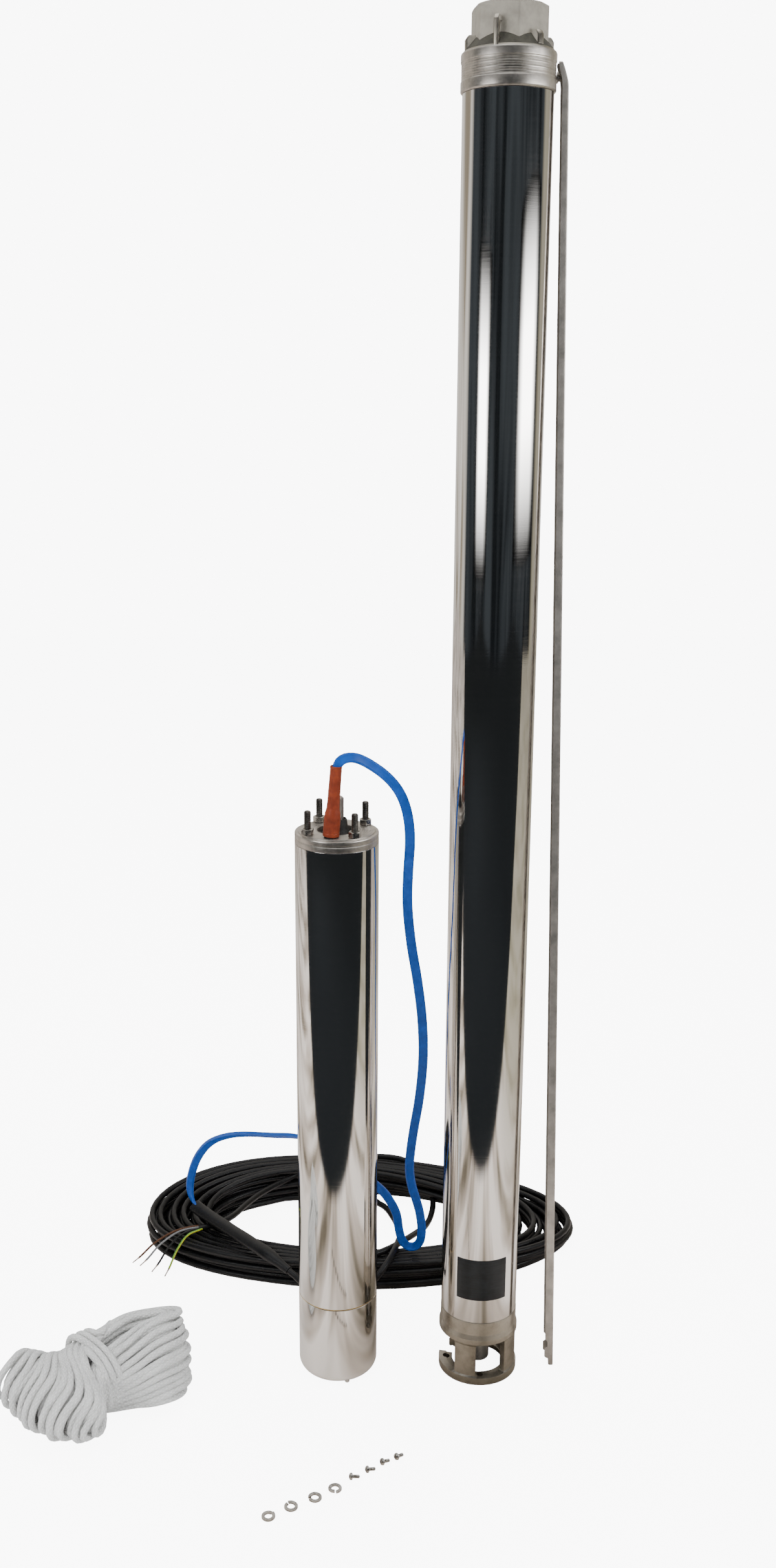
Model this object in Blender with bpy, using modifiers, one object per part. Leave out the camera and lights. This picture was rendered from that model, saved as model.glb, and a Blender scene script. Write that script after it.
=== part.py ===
"""Borehole pump kit laid out before assembly.

A multistage pump end and its submersible motor stand upright side by side. The cable guard leans
on the pump head, and the lead, the coiled cable, the rope and the loose fixings lie on the floor.
Metres, +Z up, floor at z = 0. Azimuths are measured from the front (-Y) towards +X.
"""

import math

import bmesh
import bpy
from mathutils import Matrix, Vector

# Where the two machines stand
PUMP_AXIS = (0.078, 0.115)
MOTOR_AXIS = (-0.094, 0.115)

# Gaps between separate pieces
SEAT_GAP = 0.0003
RUNNING_GAP = 0.0004
JOIN_OVERLAP = 0.001

# Sides of round pieces
FINE_SIDES = 32
PLAIN_SIDES = 16
STAGE_SIDES = 12
SMALL_SIDES = 8

# Pump sleeve
PUMP_HEIGHT = 1.524
SLEEVE_DIAMETER = 0.091
SLEEVE_WALL = 0.0015
SPIGOT_LENGTH = 0.020

# Discharge head
RING_DIAMETER = 0.095
RING_HEIGHT = 0.037
NECK_HEIGHT = 0.042
NECK_ACROSS_FLATS = 0.069
NECK_SIDES = 6
NECK_AZIMUTH = 8
NECK_CHAMFER = 0.004
OUTLET_BORE = 0.056
OUTLET_DEPTH = 0.038
SHOULDER_RISE = 0.015
RIB_THICKNESS = 0.008
RIB_RISE = 0.015
EYE_THICKNESS = 0.005
EYE_RISE = 0.027
EYE_HEIGHT = 0.014
EYE_WIDTH = 0.007
EYE_WALL = 0.005

# Check valve in the head
VALVE_CHAMBER = 0.066
VALVE_SEAT_BORE = 0.044
VALVE_SEAT_HEIGHT = 0.008
POPPET_DIAMETER = 0.056
POPPET_THICKNESS = 0.005
STEM_DIAMETER = 0.007
GUIDE_HUB_DIAMETER = 0.015
GUIDE_HUB_HEIGHT = 0.008
GUIDE_RIB_THICKNESS = 0.004
SPRING_DIAMETER = 0.020
SPRING_WIRE = 0.0014
SPRING_TURNS = 4

# Hydraulic stack
STAGE_COUNT = 12
SHAFT_ACROSS_FLATS = 0.014
CARRIER_HEIGHT = 0.020
CARRIER_RING_WALL = 0.005
CARRIER_HUB_DIAMETER = 0.030
CARRIER_RIB_THICKNESS = 0.005
BUSH_WALL = 0.003
POCKET_DIAMETER = 0.074
POCKET_SHARE = 0.45
IMPELLER_RUNNING_GAP = 0.002
HUB_BORE = 0.024
HUB_DIAMETER = 0.0205
COUPLING_DIAMETER = 0.028
COUPLING_LENGTH = 0.045
COUPLING_LIFT = 0.011
COUPLING_GRIP = 0.016

# Suction bracket
BRACKET_HEIGHT = 0.084
BRACKET_DIAMETER = 0.095
COLLAR_BAND = 0.006
FLARE_HEIGHT = 0.006
BASE_FLANGE = 0.0095
WINDOW_TOP = 0.055
LEG_STEP = 0.0015
LEG_THICKNESS = 0.0075
INLET_BORE = 0.068
BASE_BORE = 0.062
WINDOW_FILLET = 0.003
WINDOWS = ((-138.5, -41.5), (-7.5, 40.0), (76.0, 104.0), (140.0, 187.5))

# Plate on the pump sleeve
PLATE_BOTTOM = 0.115
PLATE_HEIGHT = 0.053
PLATE_THICKNESS = 0.0004
PLATE_AZIMUTHS = (-40.0, 38.0)

# Standard flange between pump and motor
PILOT_DIAMETER = 0.0873
PILOT_HEIGHT = 0.0016
STUD_CIRCLE = 0.0762
STUD_DIAMETER = 0.0079
STUD_HOLE_GAP = 0.0004
NUT_ACROSS_FLATS = 0.0127
NUT_HEIGHT = 0.0065
BRACKET_STUD_AZIMUTH = 0
MOTOR_STUD_AZIMUTH = 32

# Motor
MOTOR_HEIGHT = 0.686
MOTOR_DIAMETER = 0.095
MOTOR_WALL = 0.0015
CUP_HEIGHT = 0.103
CUP_CORNER = 0.013
FLANGE_BAND = 0.0125
FLANGE_SPIGOT = 0.032
BELL_DEPTH = 0.015
BELL_HEIGHT = 0.037
MOTOR_SHAFT_DIAMETER = 0.018
SPLINE_DIAMETER = 0.0158
SPLINE_TEETH = 14
SPLINE_DEPTH = 0.0012
SHAFT_EXTENSION = 0.038
STUD_EXTENSION = 0.027
STUD_DEPTH = 0.018
BEARING_WALL = 0.0043
SEAL_WALL = 0.006
SEAL_HEIGHT = 0.008
SLINGER_DIAMETER = 0.039
RECESS_DIAMETER = 0.044
RECESS_DEPTH = 0.010
AIR_GAP = 0.001
ROTOR_DIAMETER = 0.045
WINDING_HEIGHT = 0.040
WINDING_FLOOR_GAP = 0.0247
WINDING_HEAD_GAP = 0.0396
SKIRT_DIAMETER = 0.068
SKIRT_WALL = 0.004
SKIRT_DEPTH = 0.045
THRUST_PLATE = 0.007
THRUST_PADS = 0.013
THRUST_DISC_DIAMETER = 0.052
THRUST_DISC_HEIGHT = 0.008
DIAPHRAGM_DEPTH = 0.046
DIAPHRAGM_WALL = 0.002
VENT_DIAMETER = 0.006
VENT_RADIUS = 0.041
VENT_AZIMUTH = 16
VENT_HEIGHT = 0.008

# Lead outlet of the motor
GLAND_RADIUS = 0.032
GLAND_AZIMUTH = -11
GLAND_DIAMETER = 0.015
GLAND_DEPTH = 0.034
GLAND_STUB = 0.004
BOOT_HEIGHT = 0.080
BOOT_BASE_DIAMETER = 0.0185
BOOT_TOP_DIAMETER = 0.0127
BOOT_WALL = 0.0012
BOOT_MOUTH = 0.012
BOOT_LEAN = 4.3

# Cable guard, a thin channel
GUARD_FOOT = (0.1713, 0.115)
GUARD_STANDOFF = 0.011572
GUARD_HEADROOM = 0.0495
GUARD_WIDTH = 0.016
GUARD_WALL = 0.0008
GUARD_DEPTH = 0.0105
GUARD_TOP_DEPTH = 0.0065
GUARD_TIP_LENGTH = 0.022
GUARD_TIP_BEND = 0.0062
GUARD_SCREW_DIAMETER = 0.004
GUARD_SCREW_HEAD = 0.008
GUARD_SCREW_LIFT = 0.015
GUARD_SCREW_BITE = 0.006

# Loose fixings on the floor
LOCK_WASHER_DIAMETER = 0.0150
LOCK_WASHER_BORE = 0.0082
LOCK_WASHER_HEIGHT = 0.0021
LOCK_WASHER_SLIT = 0.0012
LOCK_WASHER_PLACES = ((-0.1662, -0.1555), (-0.1426, -0.1408), (-0.1171, -0.1269), (-0.0955, -0.1127))
LOOSE_SCREW_SHANK = 0.009
LOOSE_SCREW_HEAD_HEIGHT = 0.003
LOOSE_SCREW_PLACES = ((-0.0771, -0.0973), (-0.0591, -0.0858), (-0.0423, -0.0731), (-0.0261, -0.0645))

# Flexible pieces
LEAD_DIAMETER = 0.009
CABLE_DIAMETER = 0.0085
SPLICE_DIAMETER = 0.018
CONDUCTOR_DIAMETER = 0.0028
COIL_CENTRE = (-0.062, 0.411)
COIL_HALF_LENGTH = 0.309
COIL_HALF_WIDTH = 0.149
COIL_BAND_LENGTH = 0.154
COIL_BAND_WIDTH = 0.052
COIL_HEIGHT = 0.045
COIL_EDGE = 0.014
HANK_CENTRE = (-0.373, 0.040)
HANK_TURN = 35
HANK_HALF_LENGTH = 0.115
HANK_HALF_WIDTH = 0.074
HANK_WAIST = 0.26
HANK_HEIGHT = 0.092
HANK_EDGE = 0.026

LEAD_BEND = 0.007
LEAD_ARC_RISE = 0.001510
LEAD_SETTLED = 0.270
LEAD_ROUTE = (
    (-0.0770, 0.0895, 0.7758), (-0.0658, 0.0930, 0.7712), (-0.0479, 0.0990, 0.7587),
    (-0.0335, 0.1040, 0.7449), (-0.0217, 0.1090, 0.7266), (-0.0141, 0.1140, 0.7014),
    (-0.0114, 0.1190, 0.6712), (-0.0130, 0.1250, 0.6311), (-0.0131, 0.1310, 0.5902),
    (-0.0079, 0.1380, 0.5403), (0.0006, 0.1460, 0.4889), (0.0069, 0.1550, 0.4359),
    (0.0088, 0.1650, 0.3812), (0.0053, 0.1770, 0.3242), (-0.0007, 0.1900, 0.2740),
    (-0.0045, 0.2050, 0.2215), (-0.0012, 0.2180, 0.1872), (0.0056, 0.2350, 0.1564),
    (0.0119, 0.2550, 0.1244), (0.0157, 0.2750, 0.0888), (0.0133, 0.2900, 0.0605),
    (0.0050, 0.2970, 0.0497), (-0.0047, 0.2960, 0.0577), (-0.0122, 0.2840, 0.0854),
    (-0.0181, 0.2680, 0.1159), (-0.0282, 0.2480, 0.1472), (-0.0404, 0.2280, 0.1743),
    (-0.0620, 0.2000, 0.2070), (-0.0830, 0.1800, 0.2330), (-0.1020, 0.1720, 0.2500),
    (-0.1220, 0.1840, 0.2590), (-0.1434, 0.2050, 0.2600), (-0.1793, 0.2380, 0.2448),
    (-0.2145, 0.2680, 0.2311), (-0.2425, 0.2980, 0.2128), (-0.2671, 0.3280, 0.1877),
    (-0.2852, 0.3540, 0.1557), (-0.2969, 0.3740, 0.1223), (-0.3037, 0.3880, 0.0907),
)
SPLICE_ROUTE = (
    (-0.2975, 0.3860, 0.0606), (-0.2860, 0.3765, 0.0568), (-0.2620, 0.3520, 0.0546),
    (-0.2202, 0.3056, 0.0546), (-0.1880, 0.2720, 0.0530), (-0.1600, 0.2490, 0.0430),
)
TAIL_ROUTE = (
    (-0.1300, 0.2300, 0.0250), (-0.1080, 0.2260, 0.0120), (-0.0850, 0.2280, 0.0065),
    (-0.0640, 0.2340, 0.0100), (-0.0460, 0.2440, 0.0180), (-0.0380, 0.2540, 0.0225),
    (-0.0380, 0.2621, 0.0225),
)
CONDUCTOR_ROOT = (-0.2880, 0.3510, 0.0470)
CONDUCTOR_SPREAD = 0.0042
CONDUCTOR_BENDS = (
    ((-0.3150, 0.3370, 0.0478), (-0.3420, 0.3300, 0.0300), (-0.3640, 0.3330, 0.0080), (-0.3790, 0.3350, 0.0016)),
    ((-0.3120, 0.3320, 0.0478), (-0.3340, 0.3230, 0.0330), (-0.3530, 0.3240, 0.0100), (-0.3680, 0.3270, 0.0016)),
    ((-0.3080, 0.3280, 0.0478), (-0.3240, 0.3160, 0.0330), (-0.3380, 0.3120, 0.0110), (-0.3500, 0.3120, 0.0016)),
    ((-0.3020, 0.3250, 0.0475), (-0.3120, 0.3110, 0.0310), (-0.3220, 0.3040, 0.0110), (-0.3310, 0.3010, 0.0016)),
)
LEAD_SPACING = 0.025
SHORT_SPACING = 0.013

# Levels that follow from the sizes above
RING_TOP = PUMP_HEIGHT - NECK_HEIGHT
RING_BOTTOM = RING_TOP - RING_HEIGHT
HEAD_SPIGOT_BOTTOM = RING_BOTTOM - SPIGOT_LENGTH
BRACKET_SPIGOT_TOP = BRACKET_HEIGHT + SPIGOT_LENGTH
SLEEVE_RADIUS = SLEEVE_DIAMETER / 2
SLEEVE_BORE = SLEEVE_RADIUS - SLEEVE_WALL
PUMP_SPIGOT = SLEEVE_BORE - SEAT_GAP
STAGE_BOTTOM = BRACKET_SPIGOT_TOP + SEAT_GAP
CARRIER_TOP = HEAD_SPIGOT_BOTTOM - SEAT_GAP
CARRIER_BOTTOM = CARRIER_TOP - CARRIER_HEIGHT
STAGE_PITCH = (CARRIER_BOTTOM - SEAT_GAP - STAGE_BOTTOM) / STAGE_COUNT
SHAFT_CORNER = SHAFT_ACROSS_FLATS / 2 / math.cos(math.pi / 6)
VALVE_SEAT_TOP = HEAD_SPIGOT_BOTTOM + VALVE_SEAT_HEIGHT
POPPET_BOTTOM = VALVE_SEAT_TOP + SEAT_GAP
POPPET_TOP = POPPET_BOTTOM + POPPET_THICKNESS
OUTLET_BOTTOM = PUMP_HEIGHT - OUTLET_DEPTH
CHAMBER_TOP = OUTLET_BOTTOM - (VALVE_CHAMBER - OUTLET_BORE) / 2
GUIDE_TOP = CHAMBER_TOP + GUIDE_HUB_HEIGHT / 2
GUIDE_BOTTOM = GUIDE_TOP - GUIDE_HUB_HEIGHT
COUPLING_TOP = COUPLING_LIFT + COUPLING_LENGTH
SHAFT_BOTTOM = COUPLING_TOP - COUPLING_GRIP
SHAFT_TOP = CARRIER_TOP - SEAT_GAP
RIM_TOP = MOTOR_HEIGHT - PILOT_HEIGHT
BAND_BOTTOM = RIM_TOP - FLANGE_BAND
FLANGE_BOTTOM = BAND_BOTTOM - FLANGE_SPIGOT
MOTOR_RADIUS = MOTOR_DIAMETER / 2
MOTOR_BORE = MOTOR_RADIUS - MOTOR_WALL
MOTOR_SPIGOT = MOTOR_BORE - SEAT_GAP
SHAFT_RADIUS = MOTOR_SHAFT_DIAMETER / 2
SHAFT_BORE = SHAFT_RADIUS + RUNNING_GAP
RECESS_BOTTOM = MOTOR_HEIGHT - RECESS_DEPTH
SEAL_BOTTOM = RECESS_BOTTOM - SEAL_HEIGHT
BEARING_BORE = SHAFT_BORE + BEARING_WALL
BELL_BOTTOM = CUP_HEIGHT - BELL_DEPTH
BELL_TOP = BELL_BOTTOM + BELL_HEIGHT
SKIRT_BOTTOM = BELL_BOTTOM - SKIRT_DEPTH + BELL_DEPTH
THRUST_TOP = SKIRT_BOTTOM + THRUST_PLATE + THRUST_PADS
DISC_BOTTOM = THRUST_TOP + SEAT_GAP
BELL_CEILING = DISC_BOTTOM + THRUST_DISC_HEIGHT + 0.012
STATOR_BOTTOM = BELL_TOP + WINDING_FLOOR_GAP + WINDING_HEIGHT + SEAT_GAP
STATOR_TOP = FLANGE_BOTTOM - WINDING_HEAD_GAP - WINDING_HEIGHT - SEAT_GAP
ROTOR_OVERHANG = 0.005
GUARD_LENGTH = PUMP_HEIGHT - GUARD_HEADROOM
GUARD_SCREW_LEVEL = RING_BOTTOM + GUARD_SCREW_LIFT
RING_EDGE = PUMP_AXIS[0] + RING_DIAMETER / 2
GUARD_TURN = math.atan2(GUARD_FOOT[0] - RING_EDGE - GUARD_STANDOFF, GUARD_SCREW_LEVEL)


def clear_scene():
    for old in list(bpy.data.objects):
        bpy.data.objects.remove(old, do_unlink=True)


def collection(name):
    made = bpy.data.collections.new(name)
    bpy.context.scene.collection.children.link(made)
    return made


def finish(name, colour, roughness, metallic):
    """A plain Principled finish in the piece's own colour."""
    made = bpy.data.materials.new(name)
    made.use_nodes = True
    shader = made.node_tree.nodes["Principled BSDF"]
    shader.inputs["Base Color"].default_value = (*colour, 1.0)
    shader.inputs["Roughness"].default_value = roughness
    shader.inputs["Metallic"].default_value = metallic
    return made


def place(name, data, material=None, parent=None, matrix=None):
    """A visible piece in the kit's collection, or a cutter when it has no material."""
    made = bpy.data.objects.new(name, data)
    if material is None:
        made.hide_render = True
        made.display_type = "WIRE"
        CUTTERS.objects.link(made)
    else:
        if not data.materials:
            data.materials.append(material)
        KIT.objects.link(made)
    made.parent = parent
    if matrix is not None:
        made.matrix_local = matrix
    return made


def axis_empty(name, centre):
    made = bpy.data.objects.new(name, None)
    made.location = (centre[0], centre[1], 0.0)
    KIT.objects.link(made)
    return made


def turned(name, profile, sides, material=None, parent=None, matrix=None):
    """A piece turned about its own Z axis from (radius, height) points round its section."""
    turn = sum(a[0] * b[1] - b[0] * a[1] for a, b in zip(profile, profile[1:] + profile[:1]))
    points = profile if turn < 0 else profile[::-1]
    solid = sum(1 for radius, _ in points if radius == 0) == 2
    if solid:
        first = next(i for i, point in enumerate(points) if point[0] == 0 and points[i - 1][0] == 0)
        points = points[first:] + points[:first]
    edges = [(i, i + 1) for i in range(len(points) - 1)]
    if not solid:
        edges.append((len(points) - 1, 0))
    mesh = bpy.data.meshes.new(name)
    mesh.from_pydata([(radius, 0.0, height) for radius, height in points], edges, [])
    made = place(name, mesh, material, parent, matrix)
    screw = made.modifiers.new("Turn", "SCREW")
    screw.axis = "Z"
    screw.steps = sides
    screw.render_steps = sides
    screw.use_merge_vertices = True
    screw.merge_threshold = 0.00001
    screw.use_smooth_shade = True
    return made


def ring(name, outer, inner, bottom, top, sides, material=None, parent=None, edge=0.0):
    """A turned ring, with its outer corners broken by edge."""
    profile = [(outer - edge, top), (outer, top - edge), (outer, bottom + edge), (outer - edge, bottom)]
    if edge == 0:
        profile = [(outer, top), (outer, bottom)]
    return turned(name, profile + [(inner, bottom), (inner, top)], sides, material, parent)


def rod(name, radius, bottom, top, sides, material=None, parent=None, matrix=None, edge=0.0):
    """A turned bar along Z, with its end corners broken by edge."""
    profile = [(0, top), (radius - edge, top), (radius, top - edge)]
    profile += [(radius, bottom + edge), (radius - edge, bottom), (0, bottom)]
    if edge == 0:
        profile = [(0, top), (radius, top), (radius, bottom), (0, bottom)]
    return turned(name, profile, sides, material, parent, matrix)


def outline_solid(name, outlines, depth, material=None, parent=None, matrix=None, edge=0.0):
    """A flat outline, with any holes, as a welded solid centred on its own plane."""
    curve = bpy.data.curves.new(name, "CURVE")
    curve.dimensions = "2D"
    curve.fill_mode = "BOTH"
    curve.extrude = depth / 2 - edge
    curve.bevel_depth = edge
    curve.offset = -edge
    curve.bevel_resolution = 1
    for outline in outlines:
        spline = curve.splines.new("POLY")
        spline.points.add(len(outline) - 1)
        for point, (x, y) in zip(spline.points, outline):
            point.co = (x, y, 0.0, 1.0)
        spline.use_cyclic_u = True
    drawn = bpy.data.objects.new(name + "_outline", curve)
    CUTTERS.objects.link(drawn)
    bpy.context.view_layer.update()
    mesh = bpy.data.meshes.new_from_object(drawn.evaluated_get(bpy.context.evaluated_depsgraph_get()))
    mesh.name = name
    bpy.data.objects.remove(drawn, do_unlink=True)
    cleaned = bmesh.new()
    cleaned.from_mesh(mesh)
    bmesh.ops.remove_doubles(cleaned, verts=cleaned.verts, dist=0.00001)
    bmesh.ops.recalc_face_normals(cleaned, faces=cleaned.faces)
    cleaned.to_mesh(mesh)
    cleaned.free()
    mesh.materials.clear()
    mesh.shade_smooth()
    mesh.set_sharp_from_angle(angle=math.radians(30))
    return place(name, mesh, material, parent, matrix)


def combine(piece, tool, operation):
    """One exact Boolean on the piece. The tool stays out of the render."""
    step = piece.modifiers.new(tool.name, "BOOLEAN")
    step.operation = operation
    step.object = tool
    step.solver = "EXACT"


def cut(piece, *tools):
    for tool in tools:
        combine(piece, tool, "DIFFERENCE")


def join(piece, *tools):
    for tool in tools:
        combine(piece, tool, "UNION")


def polygon(radius, sides, start=0.0):
    step = 2 * math.pi / sides
    return [(radius * math.cos(start + i * step), radius * math.sin(start + i * step)) for i in range(sides)]


def around(radius, azimuth):
    turn = math.radians(azimuth)
    return radius * math.sin(turn), -radius * math.cos(turn)


def at(radius, azimuth, height=0.0):
    x, y = around(radius, azimuth)
    return Matrix.Translation((x, y, height))


def radial_plane(azimuth, radius=0.0):
    """Outline X runs outwards at the azimuth, outline Y runs up, and depth runs round the axis."""
    turn = math.radians(azimuth)
    out = Vector((math.sin(turn), -math.cos(turn), 0.0))
    up = Vector((0.0, 0.0, 1.0))
    return Matrix.Translation(out * radius) @ Matrix((out, up, out.cross(up))).transposed().to_4x4()


def smooth_route(route, spacing):
    """Evenly spaced points on the smooth curve through a route's own points."""
    knots = [Vector(point) for point in route]
    knots = [knots[0] * 2 - knots[1]] + knots + [knots[-1] * 2 - knots[-2]]
    fine = []
    steps = 12
    for before, start, end, after in zip(knots, knots[1:], knots[2:], knots[3:]):
        for i in range(steps):
            t = i / steps
            bend = (2 * before - 5 * start + 4 * end - after) * t ** 2
            twist = (3 * start - before - 3 * end + after) * t ** 3
            fine.append((2 * start + (end - before) * t + bend + twist) / 2)
    fine.append(knots[-2])
    lengths = [0.0]
    for a, b in zip(fine, fine[1:]):
        lengths.append(lengths[-1] + (b - a).length)
    count = max(2, round(lengths[-1] / spacing))
    points = []
    j = 0
    for i in range(count + 1):
        wanted = lengths[-1] * i / count
        while j < len(fine) - 2 and lengths[j + 1] < wanted:
            j += 1
        share = (wanted - lengths[j]) / (lengths[j + 1] - lengths[j])
        points.append(fine[j].lerp(fine[j + 1], min(1.0, share)))
    return points


def tube(name, points, diameter, material, parent=None, resolution=2):
    """A cord or wire along its points, with filled ends."""
    curve = bpy.data.curves.new(name, "CURVE")
    curve.dimensions = "3D"
    curve.bevel_depth = diameter / 2
    curve.bevel_resolution = resolution
    curve.use_fill_caps = True
    spline = curve.splines.new("POLY")
    spline.points.add(len(points) - 1)
    for point, co in zip(spline.points, points):
        point.co = (*co, 1.0)
    return place(name, curve, material, parent)


def ellipse(half_length, half_width, count):
    turns = [2 * math.pi * i / count for i in range(count)]
    return [(half_length * math.cos(t), half_width * math.sin(t)) for t in turns]


def discharge_head(axis):
    ring_radius = RING_DIAMETER / 2
    flat = NECK_ACROSS_FLATS / 2
    shoulder_low = RING_TOP
    shoulder_high = RING_TOP + SHOULDER_RISE
    land = 0.0012
    body = turned("discharge_head", [
        (0, shoulder_high), (flat - 0.002, shoulder_high),
        (ring_radius - 0.002, shoulder_low + 0.001), (ring_radius, shoulder_low - land),
        (ring_radius, RING_TOP - RING_HEIGHT * 0.28), (ring_radius - land / 2, RING_TOP - RING_HEIGHT * 0.32),
        (ring_radius - land / 2, RING_TOP - RING_HEIGHT * 0.72), (ring_radius, RING_TOP - RING_HEIGHT * 0.76),
        (ring_radius, RING_BOTTOM + land), (ring_radius - land, RING_BOTTOM),
        (PUMP_SPIGOT, RING_BOTTOM), (PUMP_SPIGOT, HEAD_SPIGOT_BOTTOM), (0, HEAD_SPIGOT_BOTTOM),
    ], FINE_SIDES, STEEL_CAST, axis)

    corner = flat / math.cos(math.pi / NECK_SIDES)
    start = math.radians(NECK_AZIMUTH - 90)
    neck_low = RING_TOP - JOIN_OVERLAP
    neck = outline_solid(
        "neck_prism", [polygon(corner, NECK_SIDES, start)], PUMP_HEIGHT - neck_low,
        None, axis, Matrix.Translation((0, 0, (PUMP_HEIGHT + neck_low) / 2)))
    slope = (corner + 0.0025 - flat) / NECK_CHAMFER
    blank = turned("neck_chamfer", [
        (0, PUMP_HEIGHT + 0.001), (flat - 0.0005 - slope * 0.001, PUMP_HEIGHT + 0.001),
        (corner + 0.002, PUMP_HEIGHT - NECK_CHAMFER),
        (corner + 0.002, neck_low - JOIN_OVERLAP), (0, neck_low - JOIN_OVERLAP),
    ], FINE_SIDES, None, axis)
    combine(neck, blank, "INTERSECT")
    join(body, neck)

    root = flat - 0.003
    for i in range(NECK_SIDES):
        azimuth = NECK_AZIMUTH - 30 + i * 360 / NECK_SIDES
        if i % 3 == 0:
            column = flat + EYE_WIDTH + EYE_WALL
            outer = min(column, ring_radius - 0.0005)
            top = RING_TOP + EYE_RISE
            plate = outline_solid(f"eye_plate_{i}", [[
                (root, RING_TOP - JOIN_OVERLAP), (outer, RING_TOP - JOIN_OVERLAP), (outer, top - 0.004),
                (outer - 0.003, top), (root, top),
            ]], EYE_THICKNESS, None, axis, radial_plane(azimuth))
            slot_low = top - EYE_WALL - EYE_HEIGHT
            slot = outline_solid(f"eye_slot_{i}", [[
                (flat - 0.001, slot_low), (outer - EYE_WALL, slot_low),
                (outer - EYE_WALL, slot_low + EYE_HEIGHT - 0.002),
                (outer - EYE_WALL - 0.002, slot_low + EYE_HEIGHT), (flat - 0.001, slot_low + EYE_HEIGHT),
            ]], EYE_THICKNESS * 3, None, axis, radial_plane(azimuth))
            cut(plate, slot)
            join(body, plate)
        else:
            outer = ring_radius - 0.003
            rib = outline_solid(f"head_rib_{i}", [[
                (root, RING_TOP - JOIN_OVERLAP), (outer, RING_TOP - JOIN_OVERLAP),
                (outer, RING_TOP + RIB_RISE * 0.7), (outer - 0.003, RING_TOP + RIB_RISE),
                (root, RING_TOP + RIB_RISE),
            ]], RIB_THICKNESS, None, axis, radial_plane(azimuth))
            join(body, rib)

    chamber = VALVE_CHAMBER / 2
    bore = OUTLET_BORE / 2
    cut(body, turned("outlet_cut", [
        (0, PUMP_HEIGHT + 0.01), (bore + 0.003, PUMP_HEIGHT + 0.001), (bore, PUMP_HEIGHT - 0.002),
        (bore, OUTLET_BOTTOM), (chamber, CHAMBER_TOP), (chamber, HEAD_SPIGOT_BOTTOM - 0.01),
        (0, HEAD_SPIGOT_BOTTOM - 0.01),
    ], FINE_SIDES, None, axis))

    hub_radius = GUIDE_HUB_DIAMETER / 2
    stem_hole = STEM_DIAMETER / 2 + RUNNING_GAP + 0.0002
    hub = ring("guide_hub", hub_radius, stem_hole, GUIDE_BOTTOM, GUIDE_TOP, SMALL_SIDES, None, axis)
    start = (stem_hole + hub_radius) / 2
    rib_low = GUIDE_BOTTOM + 0.002
    for i in range(3):
        length = chamber + JOIN_OVERLAP
        join(hub, outline_solid(f"guide_rib_{i}", [[
            (start, rib_low), (length, rib_low), (length, GUIDE_TOP - 0.001), (start, GUIDE_TOP - 0.001),
        ]], GUIDE_RIB_THICKNESS, None, axis, radial_plane(NECK_AZIMUTH + 4 + 120 * i)))
    join(body, hub)

    hole = GUARD_SCREW_DIAMETER / 2 + SEAT_GAP + 0.0001
    across = Matrix.Translation((ring_radius + 0.01, 0, RING_BOTTOM + GUARD_SCREW_LIFT)) @ SIDEWAYS
    bite = 0.01 + GUARD_SCREW_BITE + SEAT_GAP
    cut(body, rod("guard_screw_hole", hole, -bite, 0.001, SMALL_SIDES, None, axis, across))
    return body


def check_valve(axis):
    seat_radius = VALVE_CHAMBER / 2 - SEAT_GAP - 0.0002
    turned("valve_seat", [
        (seat_radius, VALVE_SEAT_TOP), (seat_radius, HEAD_SPIGOT_BOTTOM),
        (VALVE_SEAT_BORE / 2, HEAD_SPIGOT_BOTTOM), (VALVE_SEAT_BORE / 2, VALVE_SEAT_TOP - 0.002),
        (VALVE_SEAT_BORE / 2 + 0.002, VALVE_SEAT_TOP),
    ], PLAIN_SIDES, BRASS, axis)
    radius = POPPET_DIAMETER / 2
    stem = STEM_DIAMETER / 2
    turned("valve_poppet", [
        (0, GUIDE_TOP + 0.0005), (stem, GUIDE_TOP + 0.0005), (stem, POPPET_TOP + 0.002),
        (stem + 0.002, POPPET_TOP), (radius - 0.001, POPPET_TOP), (radius, POPPET_TOP - 0.001),
        (radius, POPPET_BOTTOM), (0, POPPET_BOTTOM),
    ], PLAIN_SIDES, STEEL_CAST, axis)
    low = POPPET_TOP + SPRING_WIRE / 2 + SEAT_GAP
    high = GUIDE_BOTTOM + 0.002 - SPRING_WIRE / 2 - SEAT_GAP
    per_turn = 10
    count = SPRING_TURNS * per_turn
    wound = (SPRING_DIAMETER - SPRING_WIRE) / 2
    helix = []
    for i in range(count + 1):
        turn = 2 * math.pi * i / per_turn
        helix.append((wound * math.cos(turn), wound * math.sin(turn), low + (high - low) * i / count))
    tube("valve_spring", helix, SPRING_WIRE, STEEL_CAST, axis, 0)


def pump_sleeve(axis):
    ring("pump_sleeve", SLEEVE_RADIUS, SLEEVE_BORE, BRACKET_HEIGHT + SEAT_GAP, RING_BOTTOM - SEAT_GAP,
         FINE_SIDES, MIRROR, axis)


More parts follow.
